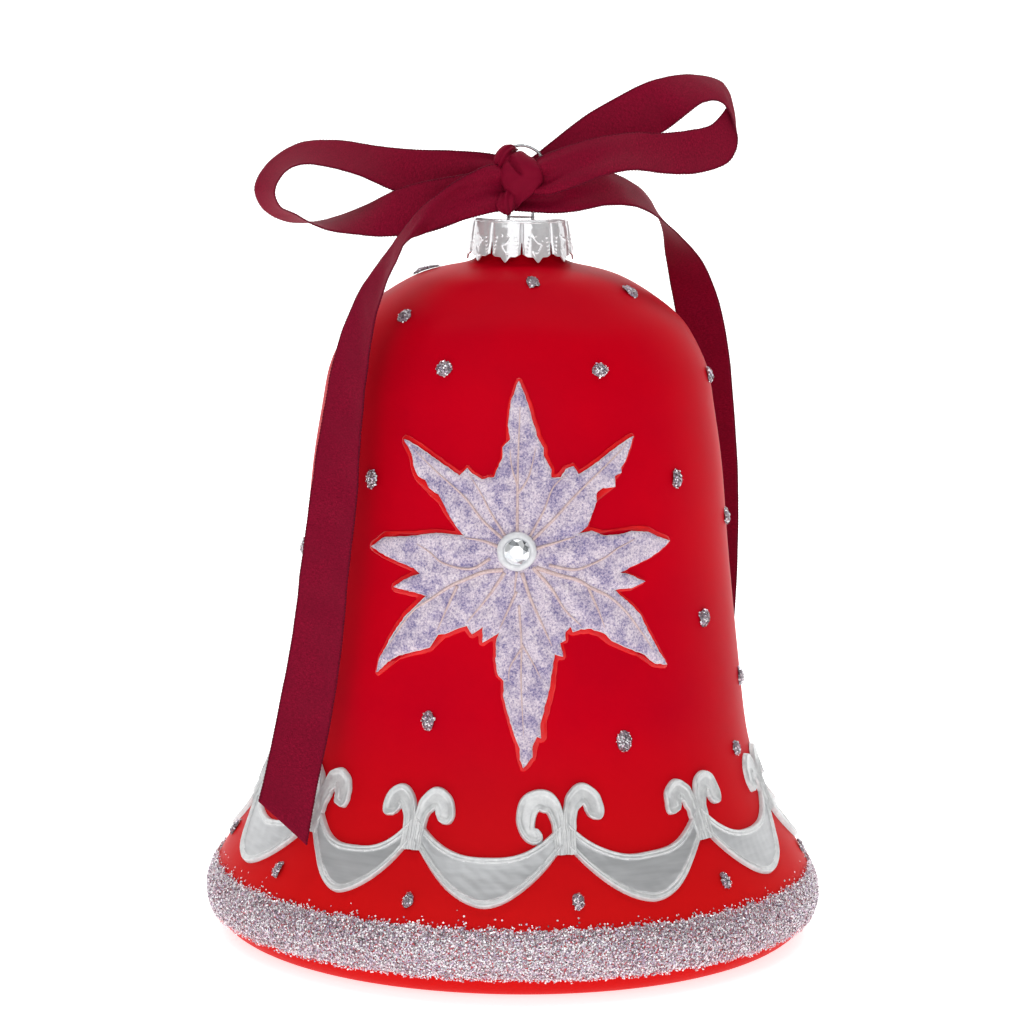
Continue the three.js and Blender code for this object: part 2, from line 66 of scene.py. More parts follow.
SCROLL_BASE, SWAG_LOW, SWAG_HIGH = 27.6, 17.2, 25.4
FRONT_SCROLLS = [-49, -22, 11, 45, 78]
SCROLL_COUNT = 11
DROPS = [
    (-23, 114.3, 3.0, 2.6), (25, 114.2, 3.0, 2.6), (-46.5, 122.8, 3.0, 2.0), (7, 129.3, 2.4, 1.6),
    (62, 127.0, 3.2, 1.8), (-43, 93, 2.8, 3.8), (48.5, 93.2, 2.8, 3.8), (81.5, 110.7, 2.6, 3.0),
    (82, 83.1, 3.0, 3.2), (57, 66.1, 3.2, 3.4), (-21, 49.2, 2.4, 3.8), (27, 45.4, 3.0, 4.0),
    (68, 39.5, 2.6, 2.8), (81, 51.7, 2.8, 3.4), (-20, 17.6, 2.2, 2.6), (12.5, 18.2, 2.2, 2.6),
    (46, 18.5, 2.2, 2.6), (-53, 18.3, 2.4, 2.8), (-86, 19.5, 2.6, 2.8), (88, 16.6, 2.2, 2.6),
    (-94, 129.6, 2.6, 1.8), (-83, 76, 2.8, 3.4),
]
# The unseen back carries the same sort of scatter.
BACK_DROPS = [
    (157, 114.3, 3.0, 2.6), (-155, 114.2, 3.0, 2.6), (133, 122.8, 3.0, 2.0), (-173, 129.3, 2.4, 1.6),
    (137, 93, 2.8, 3.6), (-131.5, 93.2, 2.8, 3.6), (159, 49.2, 2.4, 3.6), (-153, 45.4, 3.0, 3.8),
    (-123, 66, 3.0, 3.4), (118, 62, 3.0, 3.4), (-112, 40, 2.6, 3.0), (112, 105, 2.8, 3.2),
    (111.5, 18, 2.2, 2.6), (144.5, 18, 2.2, 2.6), (178, 18, 2.2, 2.6), (-149, 18, 2.2, 2.6),
]
CAP_TOP, CAP_FOOT, CAP_TOP_R, CAP_FOOT_R = 140.5, 133.4, 9.6, 10.3
CAP_SHEET, CAP_PANELS, CAP_TURN, CAP_HOLE_R, CAP_SHOULDER = 0.35, 10, 1.7, 3.1, 0.6
WIRE_RADIUS, LOOP_RADIUS, LOOP_CENTRE, WIRE_LEG_X = 0.3, 4.7, 149.6, 2.4
KNOT_CENTRE = np.array([0.1, -2.3, 147.8])

# Outline of the leaf star, right across and up from its middle, on the unrolled glass.
STAR_OUTLINE = [
    (0, 31), (1, 29), (2, 26.5), (3.5, 22), (4, 20.5), (5, 19), (5, 17.5), (6.5, 15), (6.5, 13.5),
    (8.5, 13.5), (9.5, 15), (11, 15.5), (12, 14), (15, 15.5), (17.5, 17), (21, 19), (24.5, 20.5),
    (23.5, 18.5), (22, 16), (21, 15), (21, 14), (19.5, 13.5), (19.5, 11.5), (17, 11.5), (15.5, 10.5),
    (15.5, 9), (13.5, 4.5), (11.5, 3), (14.5, 3.5), (17, 2.5), (20, 2.5), (23, 3), (27, 2.5),
    (29, 1.5), (32, 0.5), (29.5, -1), (26, -2.5), (22.5, -3.5), (20, -4.5), (22, -5), (25.5, -6.5),
    (22.5, -7.5), (18.5, -7.5), (21.5, -10), (24, -12.5), (25.5, -15.5), (27.5, -19), (29.5, -22.5),
    (27, -22), (24.5, -20), (21, -18.5), (18, -17), (16.5, -15.5), (14, -14.5), (12, -14.5),
    (10.5, -15), (10, -14), (9, -15), (9, -16.5), (8, -17), (8.5, -19.5), (7, -19), (6.5, -22),
    (6, -25.5), (5, -29), (4.3, -32.5), (4.5, -34.5), (3.8, -34.2), (3, -36), (3, -38), (1.5, -40),
    (1, -38.5), (1, -36.5), (0, -34), (-1, -30.5), (-2, -27), (-2, -24), (-3, -23), (-3.5, -20.5),
    (-3.5, -17), (-3, -15), (-4.5, -16), (-6, -17), (-6, -14), (-8, -15.5), (-9, -14), (-10.5, -14.5),
    (-12.5, -15.5), (-14.5, -16), (-16, -18.5), (-19, -19.5), (-22, -20.5), (-24.5, -22), (-26.5, -24.2),
    (-26, -21.5), (-24, -17.5), (-21.5, -13.5), (-19, -11), (-17, -9), (-19.5, -8.5), (-24, -8),
    (-22, -6.5), (-18.5, -5), (-20, -4), (-24, -3), (-27.5, -2), (-30, -1), (-27, 1), (-22.5, 1.5),
    (-17, 2.5), (-14, 2.7), (-10, 2.5), (-11.5, 4), (-13, 6), (-14.5, 8.5), (-15.5, 10), (-17.5, 11),
    (-18.5, 12.5), (-20, 13), (-21, 14.5), (-22, 17), (-24, 19.5), (-21, 18.5), (-17, 16.5),
    (-14, 15), (-11.5, 13.5), (-10, 15), (-9, 14), (-7, 13), (-4.5, 13.5), (-4, 15), (-3, 17),
    (-3, 19), (-1.5, 20.5), (-2, 23), (-1.5, 27.5),
]
# Each vein: its width at the root, and the points that it bends through.
VEINS = [
    (0.75, [(-5, -1.5), (-8.5, -3.5), (-14.5, -2.5), (-16.5, -1), (-19.5, 0.5)]),
    (1.0, [(-2.5, -3.5), (-6, -4), (-9.5, -5.5), (-12.5, -7), (-16, -9.5), (-19.5, -12), (-24, -18.5)]),
    (0.7, [(-11, -6.8), (-13, -11.5), (-14.5, -15.3)]),
    (0.8, [(-2.2, -4), (-5.5, -9), (-9, -13.5)]),
    (0.7, [(0, -7.5), (-1.5, -11), (-3, -14.5)]),
    (0.6, [(0, -3.8), (-0.4, -8)]),
    (0.9, [(1, -4), (2.5, -8.5), (4.5, -13), (6.5, -17.5)]),
    (0.9, [(3, -3), (6.5, -7), (9, -11), (12, -14)]),
    (1.0, [(3.6, -3), (8, -4.5), (11.5, -5.5), (14, -7), (17.5, -8.8), (21, -12), (26.5, -19.5)]),
    (0.7, [(13.5, -7), (15, -10.5), (16.5, -14.5)]),
    (0.75, [(6, -2.6), (11, -3.5), (14.5, -2.5), (17, -1.5), (19.5, 0), (23.5, 1.6)]),
    (0.8, [(3.5, 0.5), (7, 1.5), (11, 2.6)]),
    (0.8, [(-3.5, 0.8), (-6.5, 1.8), (-10, 2.2)]),
    (0.55, [(0.5, -10), (1, -17), (1, -24), (1.5, -34)]),
    (0.5, [(1, -17), (3, -20.5), (4.5, -23.5)]),
    (0.5, [(1, -18), (-1, -21.5), (-1.2, -24)]),
    (0.7, [(-2.6, 2.2), (-6.5, 5.5), (-10, 9.5), (-16, 14), (-21.5, 18)]),
    (0.6, [(-2.2, 2.8), (-5, 7), (-7, 10.5), (-9.5, 14)]),
    (0.7, [(0, 3.5), (0, 8.5), (0, 15.5), (0.3, 26.5)]),
    (0.5, [(0, 10.5), (2, 13.5), (3.5, 19)]),
    (0.5, [(0, 12), (-1.2, 15.5), (-1.6, 19)]),
    (0.7, [(3, 2.2), (7, 6), (11.5, 10.5), (17, 15), (23, 19.5)]),
    (0.6, [(2.4, 2.8), (5, 7.5), (7, 12), (10, 14.3)]),
]
# Centreline of a scroll's right curl, across and up from its base, and its half width.
CURL = [
    (0.9, -1.8, 1.25), (1.0, 1.8, 1.3), (1.25, 4.6, 1.5), (2.3, 6.9, 1.85), (4.0, 7.9, 2.0),
    (5.5, 7.0, 2.05), (6.1, 5.2, 1.9), (5.7, 3.9, 1.5),
]
# How far out, how high and how far down each front scroll's two curls reach: right, then left.
CURL_REACH = {
    0: ((1.0, 1.1, 0.6), (1.0, 1.1, 0.6)), 1: ((0.95, 0.96, 0.6), (0.8, 0.98, 0.0)),
    2: ((1.05, 1.12, 0.2), (1.32, 1.0, 1.7)), 3: ((0.95, 1.05, 0.3), (0.92, 0.98, 0.2)),
}
# Each station of a ribbon: the middle of its width, and half its width as a vector.
LOOP_LEFT = [
    ((-1.5, 1.5, 148.5), (0, -0.5, -2.4)),
    ((-4.9, 2.4, 149.0), (0, -0.8, -3.2)), ((-14.8, 3.6, 148.4), (-0.9, -1.6, -4.4)),
    ((-22.1, 4.0, 148.8), (-1.2, -2.6, -4.0)), ((-30.5, 3.0, 150.9), (-1.4, -3.9, -2.6)),
    ((-37.1, 2.0, 152.1), (-0.7, -4.4, -2.2)), ((-42.9, 1.0, 151.9), (0.6, -4.7, -1.7)),
    ((-47.4, 0, 149.3), (1.9, -4.6, -0.6)), ((-49.5, -1.0, 145.3), (2.2, -4.5, -0.1)),
    ((-48.2, -1.5, 142.0), (2.0, -4.5, 0.4)), ((-44.7, -1.8, 140.2), (1.4, -4.7, 1.0)),
    ((-39.8, -2.2, 139.1), (0.5, -5.0, 0.2)), ((-35.8, -2.6, 139.2), (-0.3, -4.9, -1.0)),
    ((-30.7, -3.2, 140.0), (-0.6, -4.3, -2.5)), ((-25.3, -3.4, 141.2), (-0.9, -2.6, -4.2)),
    ((-17.1, -2.6, 142.6), (-0.4, -0.8, -4.9)), ((-4.9, -1.9, 146.2), (0, -0.6, -3.4)),
    ((-1.5, -1.4, 147.3), (0, -0.4, -2.6)),
]
LOOP_RIGHT = [
    ((1.5, 2.2, 148.7), (0.2, -0.3, -2.6)),
    ((4.9, 3.8, 149.8), (0.6, -0.4, -3.8)), ((15.9, 7.6, 156.1), (2.4, -0.8, -4.3)),
    ((24.3, 8.4, 160.8), (2.9, -0.6, -4.1)), ((29.1, 8.2, 163.5), (2.1, -2.7, -3.7)),
    ((34.2, 8.5, 165.5), (1.2, -4.2, -2.5)), ((38.7, 6.5, 165.0), (0.1, -4.6, -2.1)),
    ((41.0, 3.0, 161.2), (0.2, -4.3, -2.5)), ((40.7, 0, 158.4), (0.8, -3.6, -3.4)),
    ((38.2, -2.0, 155.1), (1.3, -3.3, -3.5)), ((33.6, -3.0, 153.6), (0.8, -3.2, -3.8)),
    ((27.3, -4.0, 153.2), (0.3, -3.5, -3.6)), ((21.5, -4.5, 153.5), (-0.1, -3.8, -3.3)),
    ((15.6, -4.6, 152.5), (0.5, -3.4, -3.5)), ((4.9, -4.4, 148.9), (0.6, -1.0, -3.8)),
    ((1.5, -3.4, 148.0), (0.2, -0.5, -2.6)),
]
TAIL_LEFT = [
    ((-1.3, -3.9, 145.7), (0, -0.6, -3.8)),
    ((-4.9, -5.2, 146.3), (0, -1.0, -4.4)), ((-11, -7.2, 144.6), (-1.6, -0.9, -4.7)),
    ((-16.3, -10, 142.3), (-2.2, -1.2, -4.4)), ((-20.4, -13.5, 139.4), (-0.8, -4.3, -2.4)),
    ((-22.9, -18, 136), (0.5, -4.9, -0.9)), ((-25.5, -22, 131.5), (0.8, -4.7, -1.5)),
    ((-28.1, -24.5, 126.3), (1.6, -4.3, -2.0)), ((-31.1, -28, 115.9), (2.9, -3.7, -1.7)),
    ((-33.2, -31.3, 101.7), (3.7, -3.2, -0.9)), ((-34.4, -33.0, 89.5), (4.3, -2.4, -0.8)),
    ((-35.8, -34.2, 77.2), (4.4, -2.2, -0.9)), ((-37.3, -35.0, 62.7), (4.6, -1.6, -1.1)),
    ((-39.7, -36.0, 48), (4.8, -0.8, -1.3)), ((-41.7, -38.0, 37.7), (4.7, -0.8, -1.6)),
    ((-43.4, -39.5, 28.8), (4.5, -0.4, -4.0)),
]
TAIL_RIGHT = [
    ((-1.2, -1.9, 145.5), (0, -0.5, -3.7)),
    ((4.9, -1.9, 145.3), (0, -0.8, -3.8)), ((11, -0.5, 145.4), (-0.5, -2.7, -3.5)),
    ((17.4, 3.0, 146.1), (-0.4, -4.0, -2.9)), ((24.4, 8.0, 143.4), (-0.3, -4.8, -1.2)),
    ((28.6, 12.0, 138.5), (0.6, -5.0, 0)), ((31.5, 16.0, 133.0), (2.4, -4.2, 0.9)),
    ((33.8, 18.5, 127.5), (3.6, -3.2, 1.2)), ((35.7, 20.0, 121.5), (4.2, -2.5, 0.8)),
    ((37.5, 21.5, 113), (4.4, -2.2, 0.5)), ((38.8, 24.5, 100.5), (4.7, -1.6, 0.2)),
    ((40.0, 28.0, 86), (4.8, -1.4, 0.1)), ((40.4, 30.5, 70), (4.8, -1.4, 0)),
    ((40.0, 33.5, 54), (4.7, -1.6, 0.1)), ((38.5, 37.5, 41), (4.4, -2.2, 3.6)),
]

# ---- camera ----
camera = bpy.data.objects.new("camera", bpy.data.cameras.new("camera"))
camera.data.lens = 130.6
camera.data.sensor_width = 36
camera.location = (-0.00099, -0.7212, 0.19035)
pitch, roll = math.radians(90 - 8.5), math.radians(0.67)
camera.rotation_euler = (Matrix.Rotation(pitch, 3, "X") @ Matrix.Rotation(roll, 3, "Z")).to_euler()
bpy.context.scene.collection.objects.link(camera)
bpy.context.scene.camera = camera


# ---- mesh helpers ----
def piece_of(name, verts, faces, *materials, body="bell", slot=None, replaces=(), smooth=True, index=None):
    """A mesh object from points in millimetres; index gives each face its material."""
    mesh = bpy.data.meshes.new(name)
    mesh.from_pydata((np.asarray(verts, float) * MM).tolist(), [], [list(map(int, f)) for f in faces])
    for material in materials:
        mesh.materials.append(material)
    mesh.polygons.foreach_set("use_smooth", [smooth] * len(mesh.polygons))
    if index is not None:
        mesh.polygons.foreach_set("material_index", list(map(int, index)))
    mesh.update()
    obj = bpy.data.objects.new(name, mesh)
    bpy.context.scene.collection.objects.link(obj)
    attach(obj, body)
    if replaces:
        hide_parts(*replaces)
    return obj


def tidy(obj):
    """Welds coincident points and turns all faces outwards."""
    work = bmesh.new()
    work.from_mesh(obj.data)
    bmesh.ops.remove_doubles(work, verts=work.verts, dist=0.00001)
    bmesh.ops.recalc_face_normals(work, faces=work.faces)
    work.to_mesh(obj.data)
    work.free()
    return obj


def grid_faces(rows, cols, around=False, start=0):
    """Quads of a grid of points that is stored row by row; around closes each row on itself."""
    last = cols if around else cols - 1
    i, j = np.meshgrid(np.arange(rows - 1), np.arange(last), indexing="ij")
    k = (j + 1) % cols
    quads = np.stack([i * cols + j, i * cols + k, (i + 1) * cols + k, (i + 1) * cols + j], -1)
    return quads.reshape(-1, 4) + start


def unit(v):
    return v / np.maximum(np.linalg.norm(v, axis=-1, keepdims=True), 1e-9)


def smoothstep(x, low, high):
    t = np.clip((x - low) / (high - low), 0, 1)
    return t * t * (3 - 2 * t)


def ripple(*coords, seed=0, count=5, scale=1.0):
    """Smooth made-up unevenness between about -1 and 1, from a few crossed sine waves."""
    local = np.random.default_rng(seed)
    total = np.zeros(np.broadcast(*coords).shape)
    for _ in range(count):
        waves = local.normal(0, 1 / scale, len(coords))
        total = total + np.sin(sum(w * c for w, c in zip(waves, coords)) + local.uniform(0, 2 * math.pi))
    return total / math.sqrt(count)


def catmull(points, per_span):
    """Centripetal Catmull-Rom curve through points, per_span steps to a span."""
    p = np.asarray(points, float)
    p = np.vstack([2 * p[0] - p[1], p, 2 * p[-1] - p[-2]])
    out = []
    for i in range(1, len(p) - 2):
        p0, p1, p2, p3 = p[i - 1:i + 3]
        d0, d1, d2 = [max(np.linalg.norm(b - a) ** 0.5, 1e-4) for a, b in ((p0, p1), (p1, p2), (p2, p3))]
        m1 = ((p1 - p0) / d0 - (p2 - p0) / (d0 + d1) + (p2 - p1) / d1) * d1
        m2 = ((p2 - p1) / d1 - (p3 - p1) / (d1 + d2) + (p3 - p2) / d2) * d1
        t = (np.arange(per_span) / per_span)[:, None]
        out.append((2 * t**3 - 3 * t**2 + 1) * p1 + (t**3 - 2 * t**2 + t) * m1
                   + (-2 * t**3 + 3 * t**2) * p2 + (t**3 - t**2) * m2)
    return np.vstack([*out, p[-2]])


def even(path, step):
    """A path's points again, at even steps along it."""
    run = np.concatenate([[0], np.cumsum(np.linalg.norm(np.diff(path, axis=0), axis=1))])
    at = np.linspace(0, run[-1], max(int(run[-1] / step), 2) + 1)
    return np.stack([np.interp(at, run, path[:, k]) for k in range(path.shape[1])], -1)


def tube(path, radius, sides=8, up=None, closed=False):
    """Points and faces of a tube; radius may vary along it and up fixes its roll."""
    n = len(path)
    if closed:
        tangent = unit(np.roll(path, -1, 0) - np.roll(path, 1, 0))
    else:
        tangent = unit(np.gradient(path, axis=0))
    up = np.array([0.0, -1.0, 0.05]) if up is None else up
    side = unit(np.cross(tangent, np.broadcast_to(up, path.shape)))
    over = unit(np.cross(side, tangent))
    turn = np.arange(sides) * 2 * math.pi / sides
    radius = np.broadcast_to(radius, (n,))[:, None, None]
    ring = side[:, None] * np.cos(turn)[None, :, None] + over[:, None] * np.sin(turn)[None, :, None]
    verts = (path[:, None] + radius * ring).reshape(-1, 3)
    faces = [list(f) for f in grid_faces(n, sides, around=True)]
    if closed:
        last = (n - 1) * sides
        faces += [[last + k, last + (k + 1) % sides, (k + 1) % sides, k] for k in range(sides)]
    else:
        faces += [list(range(sides))[::-1], list(range((n - 1) * sides, n * sides))]
    return verts, faces


def joined(parts):
    """Several (points, faces) pairs as one."""
    verts, faces, start = [], [], 0
    for v, f in parts:
        verts.append(v)
        faces += [[k + start for k in face] for face in f]
        start += len(v)
    return np.vstack(verts), faces


# ---- the glass surface ----
def clamped_spline(t, y, start, end, at):
    """Cubic spline through y(t) with the given end slopes, at the parameters at."""
    n = len(t)
    h = np.diff(t)
    a = np.zeros((n, n))
    b = np.zeros(n)
    a[0, 0], a[0, 1], b[0] = 2 * h[0], h[0], 6 * ((y[1] - y[0]) / h[0] - start)
    a[-1, -1], a[-1, -2], b[-1] = 2 * h[-1], h[-1], 6 * (end - (y[-1] - y[-2]) / h[-1])
    for i in range(1, n - 1):
        a[i, i - 1:i + 2] = h[i - 1], 2 * (h[i - 1] + h[i]), h[i]
        b[i] = 6 * ((y[i + 1] - y[i]) / h[i] - (y[i] - y[i - 1]) / h[i - 1])
    m = np.linalg.solve(a, b)
    i = np.clip(np.searchsorted(t, at, side="right") - 1, 0, n - 2)
    s, w = at - t[i], h[i]
    return (m[i] * (w - s) ** 3 + m[i + 1] * s**3) / (6 * w) + (y[i] / w - m[i] * w / 6) * (w - s) \
        + (y[i + 1] / w - m[i + 1] * w / 6) * s


def glass_profile():
    """Dense radius and height of the glass from the lip's foot to the neck's top."""
    rise = math.asin((LIP_TOP - LIP_RADIUS) / LIP_RADIUS)
    turn = np.linspace(-math.pi / 2, rise, 120)
    lip = np.stack([LIP_CENTRE_R + LIP_RADIUS * np.cos(turn), LIP_RADIUS + LIP_RADIUS * np.sin(turn)], -1)
    side = BELL_SIDE[:, ::-1].copy()
    side[0] = lip[-1]
    t = np.concatenate([[0], np.cumsum(np.linalg.norm(np.diff(side, axis=0), axis=1))])
    at = np.linspace(0, t[-1], 1200)[1:]
    r = clamped_spline(t, side[:, 0], -math.sin(rise), 0, at)
    z = clamped_spline(t, side[:, 1], math.cos(rise), 1, at)
    return np.vstack([lip, np.stack([r, z], -1)])


PROFILE = glass_profile()
SLOPE = unit(np.gradient(PROFILE, axis=0))


def off_glass(z, lift):
    """Radius and height of points that stand off the glass by lift at the heights z."""
    z = np.asarray(z, float)
    r, tr, tz = (np.interp(z, PROFILE[:, 1], v) for v in (PROFILE[:, 0], SLOPE[:, 0], SLOPE[:, 1]))
    length = np.hypot(tr, tz)
    return r + lift * tz / length, z - lift * tr / length


def on_glass(azimuth, z, lift=0.0):
    """Points on the glass at azimuths in degrees."""
    r, height = off_glass(z, lift)
    a = np.radians(azimuth)
    return np.stack(np.broadcast_arrays(r * np.sin(a), -r * np.cos(a), height), -1)


def outward(azimuth, z):
    return unit(on_glass(azimuth, z, 1.0) - on_glass(azimuth, z, 0.0))


def flat_to_glass(azimuth, height, across, up, lift):
    """Lays a flat drawing on the glass round a point of it."""
    around = np.degrees(across / off_glass(height, 0)[0])
    return on_glass(azimuth + around, height + up, lift)


# ---- material helpers ----
def surface(name, color, roughness, metallic=0.0, **sockets):
    """A Principled material; sockets are further inputs by name, with _ for a space."""
    material = bpy.data.materials.new(name)
    material.use_nodes = True
    shader = material.node_tree.nodes["Principled BSDF"]
    shader.inputs["Base Color"].default_value = (*color, 1)
    shader.inputs["Roughness"].default_value = roughness
    shader.inputs["Metallic"].default_value = metallic
    for key, value in sockets.items():
        shader.inputs[key.replace("_", " ")].default_value = value
    return material


def node(material, kind, **values):
    made = material.node_tree.nodes.new(kind)
    for key, value in values.items():
        if hasattr(made, key):
            setattr(made, key, value)
        else:
            made.inputs[key].default_value = value
    return made


def link(material, a, b):
    material.node_tree.links.new(a, b)


def noise(material, scale, detail=3.0, roughness=0.5, stretch=(1, 1, 1), uv=False):
    """Noise in object space, or along the piece's own UVs; the scale is per metre."""
    coords = node(material, "ShaderNodeTexCoord")
    mapping = node(material, "ShaderNodeMapping")
    mapping.inputs["Scale"].default_value = stretch
    link(material, coords.outputs["UV" if uv else "Object"], mapping.inputs["Vector"])
    made = node(material, "ShaderNodeTexNoise", Scale=scale, Detail=detail, Roughness=roughness)
    link(material, mapping.outputs["Vector"], made.inputs["Vector"])
    return made.outputs["Fac"]


def ramp(material, fac, *stops):
    """A colour ramp; each stop is a position and a colour."""
    made = node(material, "ShaderNodeValToRGB")
    elements = made.color_ramp.elements
    while len(elements) < len(stops):
        elements.new(0.5)
    for element, (position, color) in zip(elements, stops):
        element.position = position
        element.color = (*color, 1)
    link(material, fac, made.inputs["Fac"])
    return made.outputs["Color"]


def mix(material, fac, a, b, mode="MIX"):
    made = node(material, "ShaderNodeMix", data_type="RGBA", blend_type=mode)
    for socket, value in ((made.inputs[0], fac), (made.inputs[6], a), (made.inputs[7], b)):
        if isinstance(value, (int, float)):
            socket.default_value = value
        elif isinstance(value, tuple):
            socket.default_value = (*value, 1)
        else:
            link(material, value, socket)
    return made.outputs[2]


def paint(material, color=None, roughness=None, height=None, depth=0.0001, strength=0.5):
    """Links a colour, a roughness and a bump height to the material's shader."""
    shader = material.node_tree.nodes["Principled BSDF"]
    if color is not None:
        link(material, color, shader.inputs["Base Color"])
    if roughness is not None:
        spread = node(material, "ShaderNodeMapRange")
        link(material, roughness[0], spread.inputs["Value"])
        spread.inputs["To Min"].default_value, spread.inputs["To Max"].default_value = roughness[1:]
        link(material, spread.outputs["Result"], shader.inputs["Roughness"])
    if height is not None:
        bump = node(material, "ShaderNodeBump", Strength=strength, Distance=depth)
        link(material, height, bump.inputs["Height"])
        link(material, bump.outputs["Normal"], shader.inputs["Normal"])
    return material


def height_band(material, low, high):
    """0 below the height low and 1 above high, in metres."""
    coords = node(material, "ShaderNodeTexCoord")
    split = node(material, "ShaderNodeSeparateXYZ")
    link(material, coords.outputs["Object"], split.inputs["Vector"])
    spread = node(material, "ShaderNodeMapRange")
    spread.inputs["From Min"].default_value, spread.inputs["From Max"].default_value = low, high
    link(material, split.outputs["Z"], spread.inputs["Value"])
    return spread.outputs["Result"]


# ---- materials ----
def make_lacquer():
    made = surface("red_lacquer", (0.52, 0.0, 0.012), 0.45, Sheen_Weight=0.02, Sheen_Roughness=0.3,
                   Specular_IOR_Level=0.014)
    made.node_tree.nodes["Principled BSDF"].inputs["Sheen Tint"].default_value = (1, 0.62, 0.66, 1)
    cloudy = noise(made, 28, detail=4, roughness=0.6)
    body = ramp(made, cloudy, (0.3, (0.47, 0.0, 0.010)), (0.7, (0.56, 0.0, 0.009)))
    # Painted light: from 50 mm down to the foot the red turns a brighter orange-red, standing in for the
    # floor's light shining through the glass there.
    painted_floor_glow = mix(made, height_band(made, 0.05, 0.012), body, (0.62, 0.008, 0.008))
    grain = noise(made, 5200, detail=2)
    return paint(made, painted_floor_glow, roughness=(cloudy, 0.36, 0.46), height=grain, depth=0.00002, strength=0.25)


def grained(name, color, roughness, metallic, grain, stops, bump=None, spread=None, **sockets):
    """A material whose colour, bump and roughness all follow one noise."""
    made = surface(name, color, roughness, metallic, **sockets)
    fine = noise(made, *grain)
    depth, strength = bump or (0, 0)
    return paint(made, ramp(made, fine, *stops), roughness=spread and (fine, *spread),
                 height=fine if bump else None, depth=depth, strength=strength)


def make_leaf():
    made = surface("leaf_fabric", (0.46, 0.38, 0.60), 0.85, Sheen_Weight=0.3, Sheen_Roughness=0.6)
    fine = noise(made, 2600, detail=4, roughness=0.75)
    patch = noise(made, 330, detail=4, roughness=0.65)
    specks = ramp(made, fine, (0.36, (0.20, 0.17, 0.36)), (0.44, (0.52, 0.43, 0.54)),
                  (0.52, (0.68, 0.58, 0.67)), (0.64, (0.84, 0.77, 0.81)))
    dusky = ramp(made, fine, (0.40, (0.13, 0.11, 0.28)), (0.50, (0.34, 0.28, 0.45)),
                 (0.62, (0.60, 0.51, 0.62)))
    shaded = mix(made, ramp(made, patch, (0.44, (0, 0, 0)), (0.60, (1, 1, 1))), specks, dusky)
    return paint(made, shaded, roughness=(fine, 0.75, 0.95), height=fine, depth=0.0002, strength=0.6)


def make_satin():
    made = surface("burgundy_satin", (0.22, 0.003, 0.026), 0.5, Sheen_Weight=0.03, Sheen_Roughness=0.35,
                   Specular_IOR_Level=0.05, Anisotropic=0.4)
    made.node_tree.nodes["Principled BSDF"].inputs["Sheen Tint"].default_value = (1, 0.35, 0.45, 1)
    threads = noise(made, 9000, detail=2, stretch=(1, 0.22, 1), uv=True)
    crossed = noise(made, 5200, detail=2, stretch=(0.3, 1, 1), uv=True)
    broad = noise(made, 160, detail=2)
    weave = mix(made, 0.5, threads, crossed)
    color = ramp(made, weave, (0.36, (0.12, 0.001, 0.013)), (0.64, (0.29, 0.005, 0.030)))
    cloudy = mix(made, ramp(made, broad, (0.4, (0, 0, 0)), (0.6, (0.35, 0.35, 0.35))), color,
                 (0.17, 0.004, 0.020))
    return paint(made, cloudy, roughness=(weave, 0.5, 0.68), height=weave, depth=0.00006, strength=0.7)


lacquer, leaf, satin = make_lacquer(), make_leaf(), make_satin()
glue = grained("red_glue", (0.66, 0.004, 0.008), 0.25, 0.0, (420, 3),
               [(0.3, (0.62, 0.002, 0.008)), (0.7, (0.76, 0.010, 0.010))], (0.0001, 0.4),
               Coat_Weight=0.2, Coat_Roughness=0.1, Specular_IOR_Level=0.2)
vein = grained("leaf_vein", (0.66, 0.50, 0.50), 0.6, 0.0, (2400, 3),
               [(0.35, (0.54, 0.38, 0.38)), (0.65, (0.72, 0.56, 0.54))], (0.0001, 0.4))
rim = grained("pale_rim", (0.82, 0.80, 0.84), 0.3, 0.0, (900, 2),
              [(0.3, (0.62, 0.62, 0.65)), (0.7, (0.76, 0.77, 0.79))], (0.00005, 0.3),
              Coat_Weight=0.4, Coat_Roughness=0.1)
border = grained("silver_border", (0.66, 0.67, 0.67), 0.36, 0.3, (700, 4, 0.6),
                 [(0.3, (0.56, 0.57, 0.58)), (0.65, (0.72, 0.73, 0.73))], (0.00012, 0.35), (0.3, 0.45))
fill = grained("silver_satin", (0.46, 0.47, 0.48), 0.36, 0.4, (500, 4, 0.5, (0.25, 0.25, 2.2)),
               [(0.3, (0.43, 0.44, 0.45)), (0.7, (0.53, 0.54, 0.55))], (0.00003, 0.2), (0.32, 0.42))
# Painted reflection: the cap is half diffuse with a near-white colour, so its panels look white where the
# chrome would mirror the white stage.
chrome_with_painted_white = grained("cap_chrome", (0.9, 0.91, 0.92), 0.1, 0.5, (1500, 3),
                 [(0.3, (0.80, 0.81, 0.83)), (0.7, (0.90, 0.91, 0.92))], (0.00003, 0.2), (0.06, 0.15))
wire_metal = grained("bright_wire", (0.42, 0.42, 0.43), 0.2, 1.0, (3000, 2, 0.5, (1, 1, 0.1)),
                     [(0.3, (0.30, 0.30, 0.31)), (0.7, (0.52, 0.53, 0.54))], spread=(0.14, 0.3))
selvedge = grained("ribbon_edge", (0.12, 0.001, 0.012), 0.7, 0.0, (4000, 2),
                   [(0.3, (0.08, 0.001, 0.010)), (0.7, (0.17, 0.003, 0.022))], (0.00005, 0.4),
                   Specular_IOR_Level=0.1)
band_base = grained("band_base", (0.45, 0.22, 0.25), 0.4, 0.1, (2600, 2),
                    [(0.40, (0.62, 0.05, 0.06)), (0.47, (0.30, 0.20, 0.23)), (0.60, (0.52, 0.42, 0.46))],
                    (0.0002, 0.6))
drop_base = grained("drop_base", (0.22, 0.17, 0.19), 0.35, 0.3, (3500, 2),
                    [(0.35, (0.10, 0.07, 0.09)), (0.65, (0.36, 0.29, 0.33))], (0.0002, 0.6))
